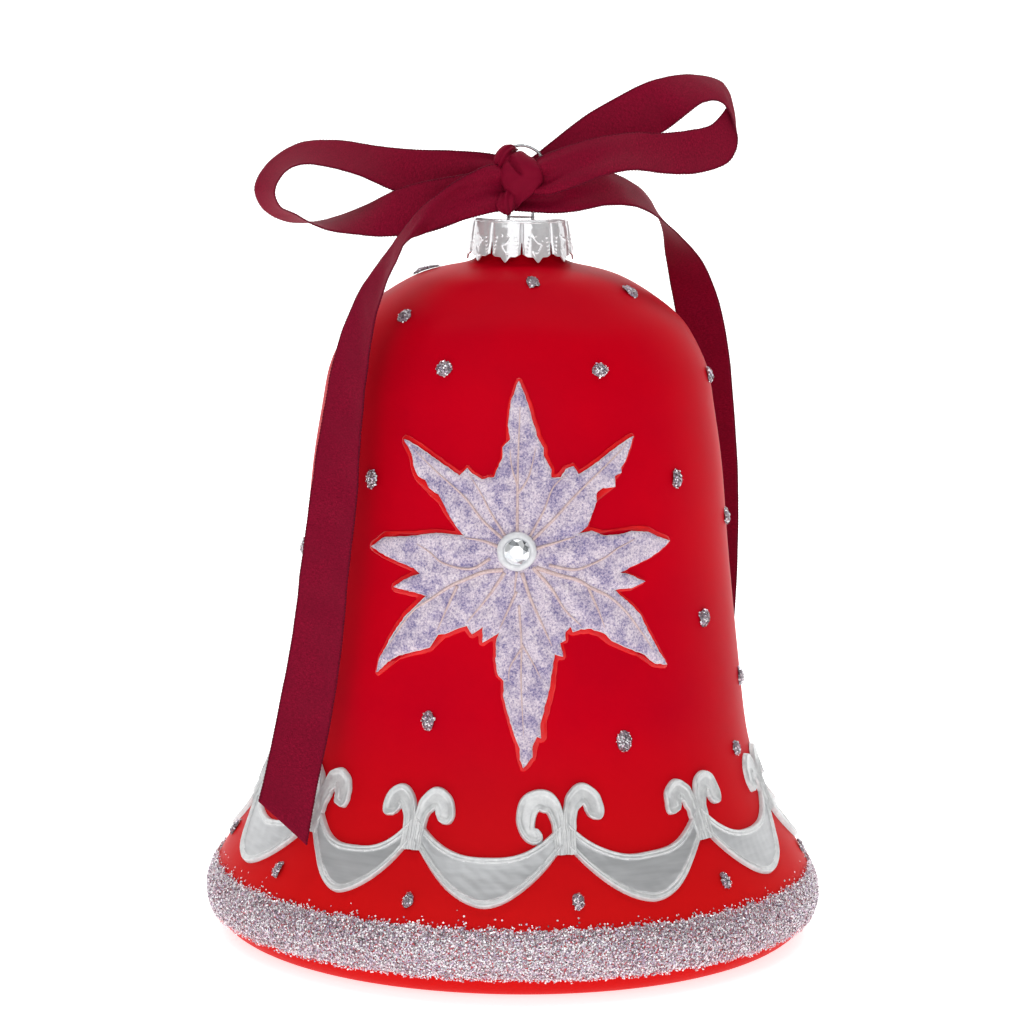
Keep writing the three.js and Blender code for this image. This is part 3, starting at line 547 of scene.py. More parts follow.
# Share of the flakes on the band, share on the drops, and the finish.
GLITTER = {
    "white": (0.40, 0.38, surface("glitter_white", (0.90, 0.88, 0.90), 0.25, 0.55)),
    "pink": (0.20, 0.14, surface("glitter_pink", (0.78, 0.58, 0.66), 0.25, 0.6)),
    "lilac": (0.22, 0.16, surface("glitter_lilac", (0.46, 0.37, 0.50), 0.25, 0.7)),
    "silver": (0.18, 0.32, surface("glitter_silver", (0.50, 0.49, 0.52), 0.16, 1.0)),
}
# Painted reflections: bright, grey and dark finishes standing in for the glints and dark mirrored facets of a
# cut stone.
crystal_glint_finishes = [surface(f"crystal_{glint}", color, 0.05, metallic, Coat_Weight=1.0, Coat_Roughness=0.02)
            for glint, color, metallic in (("bright", (0.92, 0.94, 0.96), 0.55),
                                          ("grey", (0.60, 0.63, 0.66), 0.8),
                                          ("dark", (0.22, 0.23, 0.25), 0.9))]


# ---- the glass bell ----
def glass_bell():
    segments = 224
    outer = even(PROFILE, 0.9)
    inner_z = np.linspace(2.2, NECK_TOP - 0.2, 60)
    inner_r, inner_height = off_glass(inner_z, -GLASS_WALL)
    lip_out = np.array([(r, 0.0) for r in np.linspace(0, LIP_CENTRE_R, 14)[:-1]])
    rim_turn = np.linspace(0, math.pi, 7)
    middle = NECK_RADIUS - GLASS_WALL / 2
    neck = np.stack([middle + GLASS_WALL / 2 * np.cos(rim_turn),
                     NECK_TOP + 0.25 * np.sin(rim_turn)], -1)
    inside = np.stack([inner_r, inner_height], -1)[::-1]
    floor_in = np.array([(r, GLASS_WALL) for r in np.linspace(LIP_CENTRE_R, 0, 8)])
    section = np.vstack([lip_out, outer, neck, inside, floor_in])
    turn = np.arange(segments) * 2 * math.pi / segments
    verts = np.stack([
        section[:, :1] * np.sin(turn), -section[:, :1] * np.cos(turn),
        np.broadcast_to(section[:, 1:], (len(section), segments)),
    ], -1).reshape(-1, 3)
    tidy(piece_of("bell_glass", verts, grid_faces(len(section), segments, around=True), lacquer,
                  slot="red_glass", replaces=["glass_bell"]))


# ---- glitter ----
def flakes(points, normals):
    """Points and faces of small five-sided flakes strewn at points."""
    n, sides = len(points), 5
    facing = unit(normals + rng.normal(0, FLAKE_TILT, (n, 3)))
    a = unit(np.cross(facing, unit(rng.normal(0, 1, (n, 3)))))
    b = np.cross(facing, a)
    turn = (np.arange(sides) + rng.uniform(-0.22, 0.22, (n, sides))) * 2 * math.pi / sides
    reach = FLAKE_SIZE * rng.uniform(0.7, 1.2, (n, 1)) * rng.uniform(0.8, 1.15, (n, sides))
    corner = a[:, None] * np.cos(turn)[..., None] + b[:, None] * np.sin(turn)[..., None]
    verts = (points[:, None] + reach[..., None] * corner).reshape(-1, 3)
    return verts, np.arange(n * sides).reshape(n, sides)


def band_points(count):
    """Random places on the band, thinning out over its ragged edges."""
    azimuth = rng.uniform(0, 360, count)
    ragged = 0.28 * ripple(azimuth, seed=3, count=9, scale=0.5) + 0.12 * ripple(azimuth, seed=8, scale=0.06)
    low, high = BAND_BOTTOM + 0.1 - 0.8 * ragged, BAND_TOP - 0.5 + ragged
    z = rng.uniform(low, high)
    stray = rng.uniform(0, 1, count) < 0.012
    z = np.where(stray, high + rng.exponential(0.45, count), z)
    return azimuth, np.clip(z, 3.4, 17)


def drop_surface(azimuth, z, width, height, across, up):
    """Points of a drop's mound, at shares of its half width and half height."""
    rho = np.clip(across**2 + up**2, 0, 1)
    return flat_to_glass(azimuth, z, across * width / 2, up * height / 2, 0.12 + 0.75 * np.sqrt(1 - rho))


def glitter_drops():
    """Dark mounds under the drops; returns the places and normals of their flakes."""
    places, normals = [], []
    for k, (azimuth, z, width, height) in enumerate([*DROPS, *BACK_DROPS]):
        ring, rho = np.linspace(0, 2 * math.pi, 25)[:-1], np.sin(np.linspace(0, math.pi / 2, 7))
        wobble = 1 + 0.1 * ripple(np.cos(ring), np.sin(ring), seed=k + 40, scale=0.4)
        verts = drop_surface(azimuth, z, width, height, rho[:, None] * (wobble * np.cos(ring)),
                             rho[:, None] * (wobble * np.sin(ring)))
        stands_for = [f"glitter_drop_{k + 1:02d}"] if k < len(DROPS) else ()
        tidy(piece_of(f"drop_glue_{k + 1:02d}", verts.reshape(-1, 3), grid_faces(7, 24, around=True),
                      drop_base, slot="glitter", replaces=stands_for))
        count = int(9.5 * width * height)
        reach, turn = np.sqrt(rng.uniform(0, 1.05, count)), rng.uniform(0, 2 * math.pi, count)
        reach = reach * (1 + 0.1 * ripple(np.cos(turn), np.sin(turn), seed=k + 40, scale=0.4))
        at = drop_surface(azimuth, z, width, height, reach * np.cos(turn), reach * np.sin(turn))
        middle = on_glass(azimuth, z, -0.6)
        places.append(at + 0.12 * unit(at - middle))
        normals.append(unit(at - middle))
    return np.vstack(places), np.vstack(normals)


def glitter():
    azimuth, z = band_points(BAND_FLAKES)
    lift = rng.uniform(0.28, 0.62, len(z))
    band_at, band_normal = on_glass(azimuth, z, lift), outward(azimuth, z)
    drop_at, drop_normal = glitter_drops()
    points, normals = np.vstack([band_at, drop_at]), np.vstack([band_normal, drop_normal])
    pick = rng.uniform(0, 1, len(points))
    on_band = np.arange(len(points)) < len(band_at)
    low = np.zeros(len(points))
    for color, (band_share, drop_share, material) in GLITTER.items():
        high = low + np.where(on_band, band_share, drop_share)
        chosen = (pick >= low) & (pick < high)
        low = high
        verts, faces = flakes(points[chosen], normals[chosen])
        piece_of(f"glitter_{color}", verts, faces, material, slot="glitter", smooth=False)


def band_glue():
    rows, cols = 14, 360
    azimuth = np.arange(cols) * 360 / cols
    ragged = 0.3 * ripple(azimuth, seed=3, count=9, scale=0.5)
    share = np.linspace(0, 1, rows)[:, None]
    z = BAND_BOTTOM + 0.2 - 0.5 * ragged + share * (BAND_TOP - BAND_BOTTOM - 0.9 + 1.2 * ragged)
    lift = 0.28 * np.clip(np.sin(share * math.pi), 0, 1) ** 0.3 - 0.02 + 0 * z
    verts = on_glass(azimuth[None, :], z, lift).reshape(-1, 3)
    piece_of("band_glue", verts, grid_faces(rows, cols, around=True), band_base, slot="glitter",
             replaces=["glitter_band"])


# ---- the leaf star ----
def distance_to_path(points, path):
    """Least distance of each 2-D point to an open path."""
    a, b = path[:-1], path[1:]
    best = np.full(len(points), 1e9)
    for p, q in zip(a, b):
        span = q - p
        t = np.clip(((points - p) @ span) / max(span @ span, 1e-9), 0, 1)
        best = np.minimum(best, np.linalg.norm(points - (p + t[:, None] * span), axis=1))
    return best


def star_edge():
    """The star's outline with its edges divided and slightly frayed."""
    local = np.random.default_rng(7)
    corners = np.array(STAR_OUTLINE, float) * (STAR_NARROW, 1)
    points = []
    for p, q in zip(corners, np.roll(corners, -1, 0)):
        parts = max(int(np.linalg.norm(q - p) / 0.55), 1)
        for i in range(parts):
            fray = local.normal(0, 0.05, 2) if i else 0
            points.append(p + (q - p) * i / parts + fray)
    return np.array(points)


EDGE = star_edge()
VEIN_PATHS = [(width, catmull(points, 6) * (STAR_NARROW, 1)) for width, points in VEINS]


def star_lift(points):
    """Lift of the star's face: pillows between sunken veins, falling off at its edge."""
    ring = np.vstack([EDGE, EDGE[:1]])
    from_edge = distance_to_path(points, ring)
    from_vein = np.min([distance_to_path(points, path) / (0.7 + 0.5 * width)
                        for width, path in VEIN_PATHS], axis=0)
    pillow = 0.4 * smoothstep(from_vein, 0.1, 2.4)
    crumple = 0.07 * ripple(points[:, 0], points[:, 1], seed=5, count=7, scale=0.9)
    return 0.5 + 0.42 * smoothstep(from_edge, 0, 0.9) + pillow + crumple * smoothstep(from_edge, 0, 1.5)


def leaf_star(side, azimuth):
    local = np.random.default_rng(11)
    across, up = np.meshgrid(np.arange(-32, 33, 0.42), np.arange(-41, 32, 0.42))
    inside = np.stack([across.ravel(), up.ravel()], -1) + local.uniform(-0.1, 0.1, (across.size, 2))
    near = distance_to_path(inside, np.vstack([EDGE, EDGE[:1]]))
    inside = inside[near > 0.22]
    everything = np.vstack([EDGE, inside])
    points, _, faces, *_ = delaunay_2d_cdt([Vector(p) for p in everything.tolist()], [],
                                           [list(range(len(EDGE)))], 1, 1e-5)
    flat = np.array([tuple(p) for p in points])
    used = sorted({k for f in faces for k in f})
    index = {k: i for i, k in enumerate(used)}
    flat = flat[used]
    faces = [[index[k] for k in f] for f in faces]
    verts = flat_to_glass(azimuth, STAR_HEIGHT, flat[:, 0], flat[:, 1], star_lift(flat))
    count = len(verts)
    foot = flat_to_glass(azimuth, STAR_HEIGHT, EDGE[:, 0], EDGE[:, 1], 0.12)
    top = [int(np.argmin(np.abs(flat - p).sum(1))) for p in EDGE]
    n = len(EDGE)
    wall = [[top[k], top[(k + 1) % n], count + (k + 1) % n, count + k] for k in range(n)]
    wall = [f for f in wall if len(set(f)) == 4]
    tidy(piece_of(f"star_leaf_{side}", np.vstack([verts, foot]), faces + wall, leaf, slot="leaf_fabric",
                  replaces=[f"leaf_star_{side}"]))
    parts = []
    for width, path in VEIN_PATHS:
        path = even(path, 0.35)
        taper = np.linspace(1, 0.35, len(path)) * np.minimum(1, np.linspace(4, 0.5, len(path)))
        lift = star_lift(path) + 0.05
        at = flat_to_glass(azimuth, STAR_HEIGHT, path[:, 0], path[:, 1], lift)
        facing = outward(azimuth + np.degrees(path[:, 0] / STAR_RADIUS), STAR_HEIGHT + path[:, 1])
        parts.append(tube(at, 0.42 * width * taper, 6, up=facing))
    piece_of(f"star_veins_{side}", *joined(parts), vein, slot="leaf_fabric")
    at = flat_to_glass(azimuth, STAR_HEIGHT, EDGE[:, 0], EDGE[:, 1], 0.52)
    facing = outward(azimuth + np.degrees(EDGE[:, 0] / STAR_RADIUS), STAR_HEIGHT + EDGE[:, 1])
    piece_of(f"star_rim_{side}", *tube(at, 0.1, 6, up=facing, closed=True), rim, slot="pale_rim")


def star_halo(side, azimuth):
    """The glossy red glue that shows round the star."""
    turn = np.radians(np.arange(0, 360, 0.75))
    ray = np.stack([np.cos(turn), np.sin(turn)], -1)
    spread = 0.85 + 0.3 * ripple(np.cos(turn), np.sin(turn), seed=6, count=7, scale=0.12)
    along = ray @ EDGE.T
    away = (EDGE**2).sum(1)[None] - along**2
    spare = spread[:, None] ** 2 - away
    edge = np.where(spare > 0, along + np.sqrt(np.clip(spare, 0, None)), 0).max(1)
    rings = [(0.0, 0.3, 0), (0.5, 0.3, 0), (1.0, 0.3, -0.9), (1.0, 0.27, -0.45), (1.0, 0.2, -0.15),
             (1.0, -0.05, 0)]
    verts = []
    for share, lift, inset in rings:
        flat = ray * (edge * share + inset)[:, None]
        verts.append(flat_to_glass(azimuth, STAR_HEIGHT, flat[:, 0], flat[:, 1], lift))
    tidy(piece_of(f"star_glue_{side}", np.vstack(verts), grid_faces(len(rings), len(turn), around=True), glue,
                  slot="red_glass"))


def place_on_star(points, azimuth, lift):
    """Stands points, drawn about Z, on the star's middle."""
    foot = on_glass(azimuth, STAR_HEIGHT, lift)
    facing = outward(azimuth, STAR_HEIGHT)
    a = np.radians(azimuth)
    across = np.array([math.cos(a), math.sin(a), 0])
    up = np.cross(facing, across)
    return foot + points[:, :1] * across + points[:, 1:2] * up + points[:, 2:] * facing


def stone_and_setting(side, azimuth):
    turn = np.radians(np.arange(0, 360, 5))
    section = [(2.1, 0.2), (2.36, 0.72), (2.62, 0.98), (2.95, 1.06), (3.28, 0.92), (3.52, 0.6), (3.66, 0.15),
               (3.66, -0.5)]
    wobble = 1 + 0.012 * ripple(np.cos(turn), np.sin(turn), seed=12, scale=0.3)
    ring = np.vstack([np.stack([r * wobble * np.cos(turn), r * wobble * np.sin(turn), h + 0 * turn], -1)
                      for r, h in section])
    piece_of(f"stone_ring_{side}", place_on_star(ring, azimuth, STAR_TOP + 0.2),
             grid_faces(len(section), len(turn), around=True)[:, ::-1], rim, slot="pale_rim",
             replaces=[f"stone_setting_{side}"])

    def level(count, radius, height, start):
        a = np.radians(start + np.arange(count) * 360 / count)
        return np.stack([radius * np.cos(a), radius * np.sin(a), height + 0 * a], -1)
    verts = np.vstack([level(8, 1.25, 1.95, 22.5), level(8, 1.88, 1.6, 0), level(16, 2.46, 0.9, 0),
                       level(16, 2.46, 0.45, 0)])
    faces, shade = [list(range(8))], [0]
    for k in range(8):
        table, table2 = k, (k + 1) % 8
        mid, mid2 = 8 + k, 8 + (k + 1) % 8
        rim1, rim2, rim3 = (16 + (2 * k + step) % 16 for step in range(3))
        faces += [[table, table2, mid2], [mid, rim2, mid2, table], [mid, rim1, rim2], [rim2, rim3, mid2],
                  [rim1, rim1 + 16, rim2 + 16, rim2], [rim2, rim2 + 16, rim3 + 16, rim3]]
        # Painted reflections: each facet gets a bright, grey or dark finish, with a single dark one.
        shade += [1 if k % 3 else 0, 0 if k % 2 else 1, 2 if k == 1 else 0, 1 if k % 4 == 2 else 0, 1, 1]
    tidy(piece_of(f"stone_{side}", place_on_star(verts, azimuth, STAR_TOP + 0.25), faces, *crystal_glint_finishes,
                  slot="crystal", replaces=[f"rhinestone_{side}"], smooth=False, index=shade))


# ---- the silver garland ----
def ridges(depth):
    """Lift of the piped border by distance from its edge: an outer and an inner ridge."""
    return np.interp(depth, [0, 0.1, 0.22, 0.38, 0.52, 0.62, 0.75, 0.9, 1.05, 1.3, 2.0],
                     [0.02, 0.55, 0.86, 0.98, 0.8, 0.62, 0.7, 0.84, 0.62, 0.46, 0.42])


def scroll_azimuths():
    left = SCROLL_COUNT - len(FRONT_SCROLLS)
    spacing = (FRONT_SCROLLS[0] + 360 - FRONT_SCROLLS[-1]) / (left + 1)
    return [*FRONT_SCROLLS, *(FRONT_SCROLLS[-1] + spacing * (k + 1) for k in range(left))]


def swag(number, start, end):
    columns, rows = 120, 44
    t = np.linspace(-1, 1, columns)[None, :]
    share = np.linspace(0, 1, rows)[:, None]
    reach = 0.97
    half_mm = math.radians(end - start) / 2 * GARLAND_RADIUS
    sway = 0.12 * ripple(t * 6, seed=number + 60, scale=1.2)
    low = SWAG_LOW + (SCROLL_BASE - 0.4 - SWAG_LOW) * np.abs(t) ** 1.75 + sway
    high = SWAG_HIGH + (SCROLL_BASE + 4.2 - SWAG_HIGH) * np.abs(t) ** 2.5 \
        + 0.12 * ripple(t * 6, seed=number + 80, scale=1.0)
    z = low + (high - low) * share
    slope_low = np.gradient(low[0], t[0] * half_mm * reach)
    slope_high = np.gradient(high[0], t[0] * half_mm * reach)
    depth = np.minimum((z - low) / np.hypot(1, slope_low), (high - z) / np.hypot(1, slope_high))
    depth = np.minimum(depth, (1 - np.abs(t)) * half_mm)
    azimuth = (start + end) / 2 + t * reach * (end - start) / 2
    uneven = 0.03 * ripple(azimuth * 0.6, z, seed=number + 20, scale=0.5)
    lift = ridges(depth) + uneven * smoothstep(depth, 0, 0.5)
    verts = on_glass(azimuth + 0 * z, z, lift).reshape(-1, 3)
    faces = grid_faces(rows, columns)
    centre = depth.reshape(-1)[faces].mean(1)
    piece_of(f"garland_swag_{number + 1:02d}", verts, faces, border, fill, slot="silver_relief",
             replaces=[f"swag_{number + 1:02d}"], index=(centre > 1.12).astype(int))


def scroll(number, azimuth):
    local = np.random.default_rng(number + 100)
    parts = []
    for mirror in (1, -1):
        curl = np.array(CURL, float)
        free = local.uniform((0.88, 0.95, 0), (1.1, 1.1, 1.2))
        out, rise, droop = CURL_REACH[number][(1 - mirror) // 2] if number in CURL_REACH else free
        curl[3:, 0] = 2.3 + (curl[3:, 0] - 2.3) * out
        curl[2:, 1] *= rise
        curl[-2:, 1] -= np.array([0.5, 1.0]) * droop
        if droop > 1:
            curl = np.vstack([curl, [curl[-1, 0] - 1.2, curl[-1, 1] - 0.5, 1.6],
                              [curl[-1, 0] - 2.3, curl[-1, 1] + 0.2, 1.3]])
        path = even(catmull(curl, 10), 0.22)
        run = np.linspace(0, 1, len(path)) * 0.22 * len(path)
        blunt = np.sqrt(np.clip(1 - (1 - np.clip((run[-1] - run) / 0.9, 0, 1)) ** 2, 0.0, 1))
        uneven = 1 + 0.05 * ripple(run, seed=number * 3 + mirror + 5, scale=0.6)
        half = path[:, 2] * np.maximum(blunt, 0.02) * uneven
        tangent = unit(np.gradient(path[:, :2], axis=0))
        side = np.stack([-tangent[:, 1], tangent[:, 0]], -1)
        s = np.linspace(-1, 1, 19)
        flat = path[:, None, :2] + (half[:, None] * s)[..., None] * side[:, None]
        depth = (1 - np.abs(s))[None] * half[:, None] * 1.08
        depth = np.minimum(depth, (run[-1] - run)[:, None] + 0.02)
        lift = 0.15 * smoothstep(depth, 0, 0.3) + 0.85 * ridges(depth) + 0.05 * (mirror + 1)
        verts = flat_to_glass(azimuth, SCROLL_BASE, mirror * flat[..., 0], flat[..., 1], lift).reshape(-1, 3)
        faces = grid_faces(len(path), len(s))
        parts.append((verts, faces if mirror < 0 else faces[:, ::-1]))
    piece_of(f"garland_scroll_{number + 1:02d}", *joined(parts), border, slot="silver_relief",
             replaces=[f"scroll_{number + 1:02d}"])


# ---- the crown cap and the hanger ----
def crown_cap():
    """Stamped sheet: ten panels with a slit between them, a toothed foot and an embossed vine."""
    per, rows = 48, 54
    pitch = 360 / CAP_PANELS
    parts = []
    p = np.linspace(-1, 1, per)[None, :]
    share = np.linspace(0, 1, rows)[:, None]
    foot_drop = 1.1 * np.clip(1 - np.abs(p) / 0.3, 0, 1) ** 0.8 - 0.5 * smoothstep(np.abs(p), 0.62, 1.0)
    for k in range(CAP_PANELS):
        top = CAP_TOP - CAP_SHOULDER
        z = top + (CAP_FOOT - foot_drop - top) * share
        slit = 0.012 + 0.05 * smoothstep(share, 0.6, 0.95)
        wide = np.where(share > 0.64, 1 - slit, 1.0)
        azimuth = CAP_TURN + pitch * (k + 0.5) + p * wide * pitch / 2
        base = CAP_TOP_R + (CAP_FOOT_R - CAP_TOP_R) * (top - z) / (top - CAP_FOOT)
        corner = np.clip(1 - np.abs(p) ** 5, 0, 1) * smoothstep(share, 0.0, 0.16 + 0.16 * np.abs(p) ** 3)
        groove = -0.28 * np.exp(-((1 - np.abs(p)) / 0.07) ** 2)
        vine_x = 0.26 * np.sin(share * 13 + k) * smoothstep(share, 0.25, 0.4)
        vine = 0.11 * np.exp(-((p - vine_x) / 0.05) ** 2) * smoothstep(share, 0.28, 0.36) \
            * smoothstep(share, 0.95, 0.85)
        dots = np.zeros_like(z)
        for row, at in enumerate((0.42, 0.54, 0.66, 0.78, 0.88)):
            for side in (-0.62, 0.62):
                column = side + 0.04 * row * np.sign(side)
                dots += 0.15 * np.exp(-((p - column) / 0.055) ** 2 - ((share - at) / 0.025) ** 2)
        for column, at in ((-0.28, 0.36), (0.3, 0.5)):
            dots += 0.08 * np.exp(-((p - column) / 0.06) ** 2 - ((share - at) / 0.03) ** 2)
        r = base + 0.17 * corner + groove + vine + dots - 0.2
        a = np.radians(azimuth)
        verts = np.stack(np.broadcast_arrays(r * np.sin(a), -r * np.cos(a), z), -1).reshape(-1, 3)
        parts.append((verts, grid_faces(rows, per)))
    cols = 240
    turn = np.arange(cols) * 2 * math.pi / cols
    edge = np.linspace(0, math.pi / 2, 9)
    section = [(CAP_HOLE_R, CAP_TOP - 0.5), (CAP_HOLE_R + 0.1, CAP_TOP - 0.12), (CAP_HOLE_R + 0.3, CAP_TOP),
               (5.2, CAP_TOP), (5.5, CAP_TOP - 0.12), (5.8, CAP_TOP), (7.6, CAP_TOP)]
    section += [(CAP_TOP_R - 0.2 - CAP_SHOULDER * (1 - math.sin(e)),
                 CAP_TOP - CAP_SHOULDER * (1 - math.cos(e))) for e in edge]
    lip = np.stack([np.stack([r * np.sin(turn), -r * np.cos(turn), z + 0 * turn], -1) for r, z in section])
    parts.append((lip.reshape(-1, 3), grid_faces(len(section), cols, around=True)[:, ::-1]))
    cap = piece_of("cap_shell", *joined(parts), chrome_with_painted_white, body="cap", slot="cap_metal", replaces=["crown_cap"])
    tidy(cap)
    thicken(cap, CAP_SHEET, -1)


def thicken(obj, sheet, offset):
    """Gives a sheet its thickness, as the object's own mesh."""
    thick = obj.modifiers.new("sheet", "SOLIDIFY")
    thick.thickness = sheet * MM
    thick.offset = offset
    graph = bpy.context.evaluated_depsgraph_get()
    mesh = bpy.data.meshes.new_from_object(obj.evaluated_get(graph))
    obj.modifiers.clear()
    obj.data = mesh


def hanger():
    leg = [(5.6, 117.5), (5.2, 124.5), (3.0, 133), (WIRE_LEG_X, 137.5), (WIRE_LEG_X, 141.5)]
    arc = [(LOOP_RADIUS * math.cos(math.radians(t)), LOOP_CENTRE + LOOP_RADIUS * math.sin(math.radians(t)))
           for t in (-35, 0, 45)]
    side = leg + arc
    points = [*side, (0, LOOP_CENTRE + LOOP_RADIUS), *[(-x, z) for x, z in side[::-1]]]
    path = even(catmull([(x, 0, z) for x, z in points], 16), 0.3)
    verts, faces = tube(path, WIRE_RADIUS, 12, up=np.array([0.0, -1.0, 0.0]))
    piece_of("wire", verts, faces, wire_metal, body="hanger", slot="wire_metal", replaces=["hanger_wire"])


# ---- the ribbon ----
def ribbon_rows(stations, step=0.45):
    """Middles and half widths along a ribbon, at even steps, and the distance along it."""
    middles = catmull([c for c, _ in stations], 24)
    halves = catmull([w for _, w in stations], 24)
    run = np.concatenate([[0], np.cumsum(np.linalg.norm(np.diff(middles, axis=0), axis=1))])
    at = np.linspace(0, run[-1], int(run[-1] / step))
    middle = np.stack([np.interp(at, run, middles[:, k]) for k in range(3)], -1)
    half = np.stack([np.interp(at, run, halves[:, k]) for k in range(3)], -1)
    return middle, half, at


def ribbon(name, stations, node_name, seed, both_ends=False):
    """A length of satin with a picot edge, gathered where the knot grips it."""
    middle, half, run = ribbon_rows(stations)
    facing = unit(np.cross(unit(np.gradient(middle, axis=0)), half))
    cols = 19
    s = np.linspace(-1, 1, cols)
    wave = 0.14 * ripple(run[:, None] * 0.25, s[None] * 1.2, seed=seed, count=6, scale=1.0)
    wave = wave + 0.035 * ripple(run[:, None] * 1.1, s[None] * 2.5, seed=seed + 1, count=6, scale=1.2)
    from_knot = np.minimum(run, run[-1] - run) if both_ends else run
    gather = 0.9 * np.exp(-np.maximum(from_knot - 3, 0) / 6)[:, None] \
        * np.cos(s[None] * 5.2 + seed + 0.05 * from_knot[:, None])
    offset = 0.25 * (s[None] ** 2 - 0.4) + wave + gather
    verts = middle[:, None] + s[None, :, None] * half[:, None] + offset[..., None] * facing[:, None]
    made = piece_of(name, verts.reshape(-1, 3), grid_faces(len(run), cols), satin, body="hanger",
                    slot="satin", replaces=[node_name])
    layer = made.data.uv_layers.new(name="weave")
    grid_uv = np.stack(np.broadcast_arrays(s[None] * 5 * MM, run[:, None] * MM), -1).reshape(-1, 2)
    corner = np.empty(len(made.data.loops), int)
    made.data.loops.foreach_get("vertex_index", corner)
    layer.data.foreach_set("uv", grid_uv[corner].ravel())
    thicken(made, CLOTH, 0)
    edges = []
    for column in (0, cols - 1):
        path = even(verts[:, column], EDGE_STEP)
        steps = np.arange(len(path)) * EDGE_STEP
        here, known = np.linspace(0, 1, len(path)), np.linspace(0, 1, len(run))
        up = np.stack([np.interp(here, known, facing[:, k]) for k in range(3)], -1)
        edges.append(tube(path, 0.1 + 0.11 * np.abs(np.sin(steps * math.pi / PICOT_PITCH)), 5, up=up))
    trim = piece_of(f"{name}_edge", *joined(edges), selvedge, body="hanger", slot="satin")


def cloth_area(obj):
    """The mesh's own area."""
    obj.data.calc_loop_triangles()
    return sum(triangle.area for triangle in obj.data.loop_triangles)


def knot():
    """The band of ribbon that wraps the bow's waist, with a folded flap over its front."""
    rows, cols = 150, 61
    turn = np.linspace(-math.pi, math.pi, rows)[:, None]
    s = np.linspace(-1, 1, cols)[None, :]
    high = np.sin(turn)
    width = 4.3 * (1 - 0.3 * np.clip(high, 0, 1) ** 3 - 0.84 * np.clip(-high, 0, 1) ** 1.5)
    lean = -0.4 * np.clip(high, 0, 1) ** 2 - 1.5 * np.clip(-high, 0, 1) ** 2
    fall = np.clip(np.cos(s * math.pi / 2), 0.0, 1) ** 0.42
    across = lean + width * np.sin(s * math.pi / 2)
    up = np.where(high > 0, 5.35, 6.1) * high
    crease = across - np.interp(up, [-2, 1.2, 5.4], [1.2, 0.35, -2.6])
    open_up = smoothstep(up, 0.6, 2.6)
    groove = 1.15 * np.exp(-((crease + 0.35) / 0.4) ** 2)
    flap = (0.85 * smoothstep(crease, -0.15, 0.2) - groove) * open_up
    gather = 0.13 * np.sin(s * 15 + 2 * high) * smoothstep(-up, -0.5, 4.2) \
        + 0.16 * np.sin(s * 9 + 1.2) * smoothstep(up, 2, 5) + 0.1 * ripple(across, up, seed=31, scale=0.7)
    front = np.clip(np.cos(turn), 0, 1)
    swell = fall * (1 + (flap * front + gather) / 5.0) * 0.93 + 0.05
    verts = np.stack(np.broadcast_arrays(
        KNOT_CENTRE[0] + across, KNOT_CENTRE[1] - 4.25 * np.cos(turn) * swell,
        KNOT_CENTRE[2] + up * swell * (1 + 0.02 * s)), -1).reshape(-1, 3)
    made = tidy(piece_of("knot_wrap", verts, grid_faces(rows, cols), satin, body="hanger", slot="satin",
                         replaces=["ribbon_knot"]))
    area = cloth_area(made)
    thicken(made, CLOTH, -1)


LUMP = [
    ((-4.0, -2.6, 149.9), (1.2, -0.5, -0.5)), ((-4.1, -3.5, 151.2), (1.25, -0.4, -0.8)),
    ((-3.4, -3.3, 152.6), (1.05, -0.3, -1.0)), ((-2.3, -2.2, 153.6), (0.6, -0.2, -1.0)),
    ((-1.5, -0.2, 153.3), (0.3, -0.2, -0.8)),
]
TUCK = [
    ((-2.4, -5.0, 145.4), (-1.7, -0.3, -0.3)), ((-2.9, -6.6, 143.8), (-1.8, -0.4, -0.5)),
    ((-2.8, -6.5, 142.3), (-1.4, -0.4, -0.3)), ((-2.6, -5.6, 141.5), (-0.6, -0.3, 0)),
]


def knot_folds():
    """The ribbon's turns that show over and under the knot."""
    parts = []
    for seed, stations in enumerate((LUMP, TUCK)):
        middle, half, run = ribbon_rows(stations, 0.2)
        facing = unit(np.cross(unit(np.gradient(middle, axis=0)), half))
        s = np.linspace(-1, 1, 25)
        fold = 0.75 * np.cos(s * math.pi / 2)[None] + 0.22 * np.sin(s * 8 + seed)[None] \
            + 0.08 * ripple(run[:, None], s[None] * 3, seed=seed)
        verts = middle[:, None] + s[None, :, None] * half[:, None] - fold[..., None] * facing[:, None]
        parts.append((verts.reshape(-1, 3), grid_faces(len(run), len(s))))
    made = piece_of("knot_folds", *joined(parts), satin, body="hanger", slot="satin")
    area = cloth_area(made)


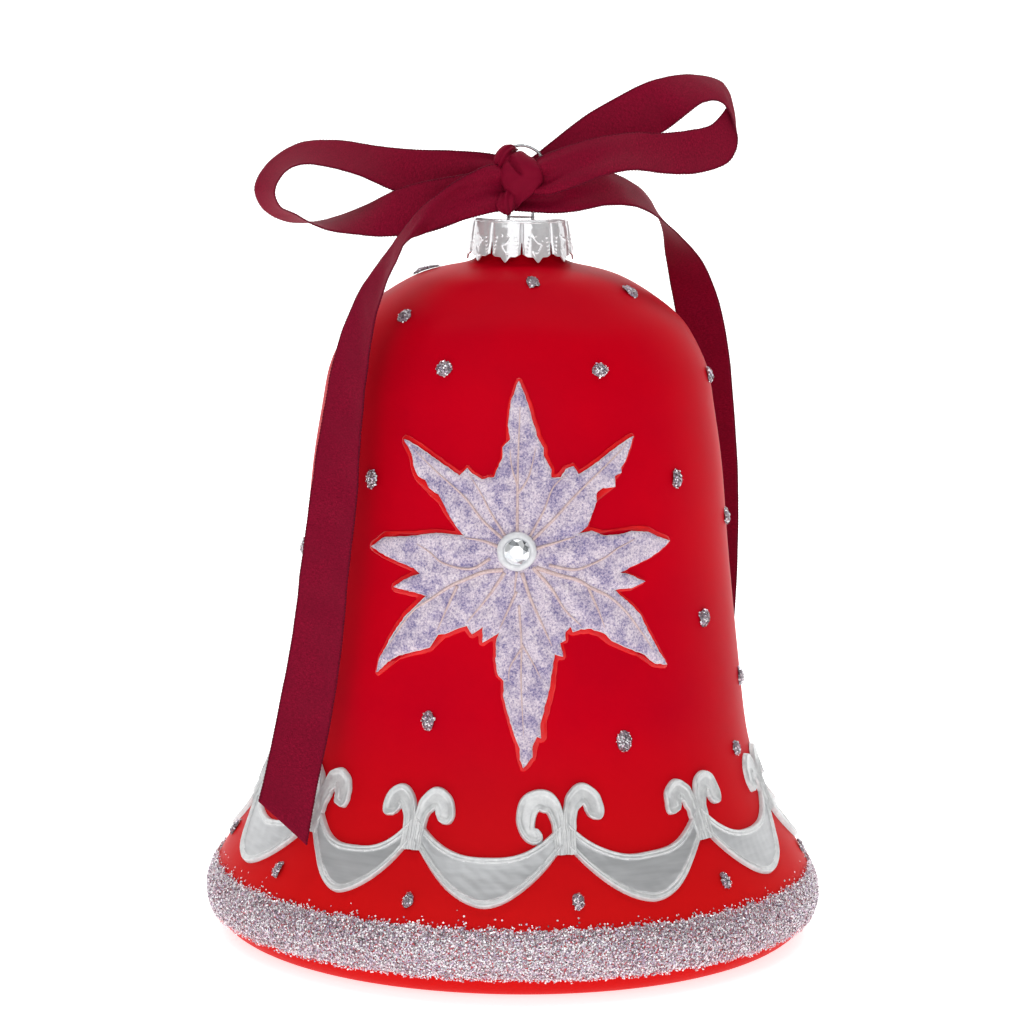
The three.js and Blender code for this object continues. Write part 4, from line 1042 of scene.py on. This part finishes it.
glass_bell()
band_glue()
glitter()
for side_name, side_azimuth in (("front", 0.0), ("back", 180.0)):
    star_halo(side_name, side_azimuth)
    leaf_star(side_name, side_azimuth)
    stone_and_setting(side_name, side_azimuth)
scrolls = scroll_azimuths()
for k, azimuth_of in enumerate(scrolls):
    swag(k, azimuth_of, scrolls[k + 1] if k + 1 < len(scrolls) else scrolls[0] + 360)
    scroll(k, azimuth_of)
crown_cap()
hanger()
ribbon("bow_loop_left", LOOP_LEFT, "ribbon_loop_left", 1, both_ends=True)
ribbon("bow_loop_right", LOOP_RIGHT, "ribbon_loop_right", 2, both_ends=True)
ribbon("bow_tail_left", TAIL_LEFT, "ribbon_tail_left", 3)
ribbon("bow_tail_right", TAIL_RIGHT, "ribbon_tail_right", 4)
knot()
knot_folds()


# ---- stage and light ----
def stage_sheet():
    """A pale floor that sweeps up into a backdrop behind the object."""
    bend, back, top, reach = 0.9, 1.1, 4.0, 9.0
    turn = np.linspace(0, math.pi / 2, 24)
    curve = [(back + bend * math.sin(t), bend - bend * math.cos(t)) for t in turn]
    section = [(-reach, 0.0), (back, 0.0), *curve, (back + bend, top)]
    verts = [(x, y, z) for y, z in section for x in (-reach, reach)]
    mesh = bpy.data.meshes.new("floor")
    mesh.from_pydata(verts, [], grid_faces(len(section), 2).tolist())
    mesh.polygons.foreach_set("use_smooth", [True] * len(mesh.polygons))
    floor = bpy.data.objects.new("floor", mesh)
    mesh.materials.append(surface("stage_white", (0.86, 0.86, 0.86), 0.7, Emission_Color=(1, 1, 1, 1),
                                  Emission_Strength=0.72))
    bpy.context.scene.collection.objects.link(floor)


def area_light(name, location, target, size, power):
    data = bpy.data.lights.new(name, "AREA")
    data.shape = "RECTANGLE"
    data.size, data.size_y = size
    data.energy = power
    lamp = bpy.data.objects.new(name, data)
    lamp.location = location
    lamp.rotation_euler = (Vector(target) - Vector(location)).to_track_quat("-Z", "Y").to_euler()
    bpy.context.scene.collection.objects.link(lamp)


stage_sheet()
middle = (0, 0, 0.08)
area_light("front", (-0.1, -1.9, 0.9), middle, (2.1, 1.95), 16.5)
area_light("key", (-0.6, -1.0, 1.1), middle, (0.8, 0.8), 1.5)
area_light("fill_right", (1.0, -0.7, 0.6), middle, (0.7, 1.0), 0.2)
area_light("top", (0, 0.1, 1.4), middle, (1.6, 1.6), 1.5)
area_light("backdrop_light", (0, 0.2, 1.6), (0, 1.6, 0.6), (2.4, 0.6), 22)
world = bpy.data.worlds.new("studio")
world.use_nodes = True
world.node_tree.nodes["Background"].inputs["Color"].default_value = (1, 1, 1, 1)
world.node_tree.nodes["Background"].inputs["Strength"].default_value = 0.16
bpy.context.scene.world = world
bpy.context.scene.view_settings.view_transform = "Standard"
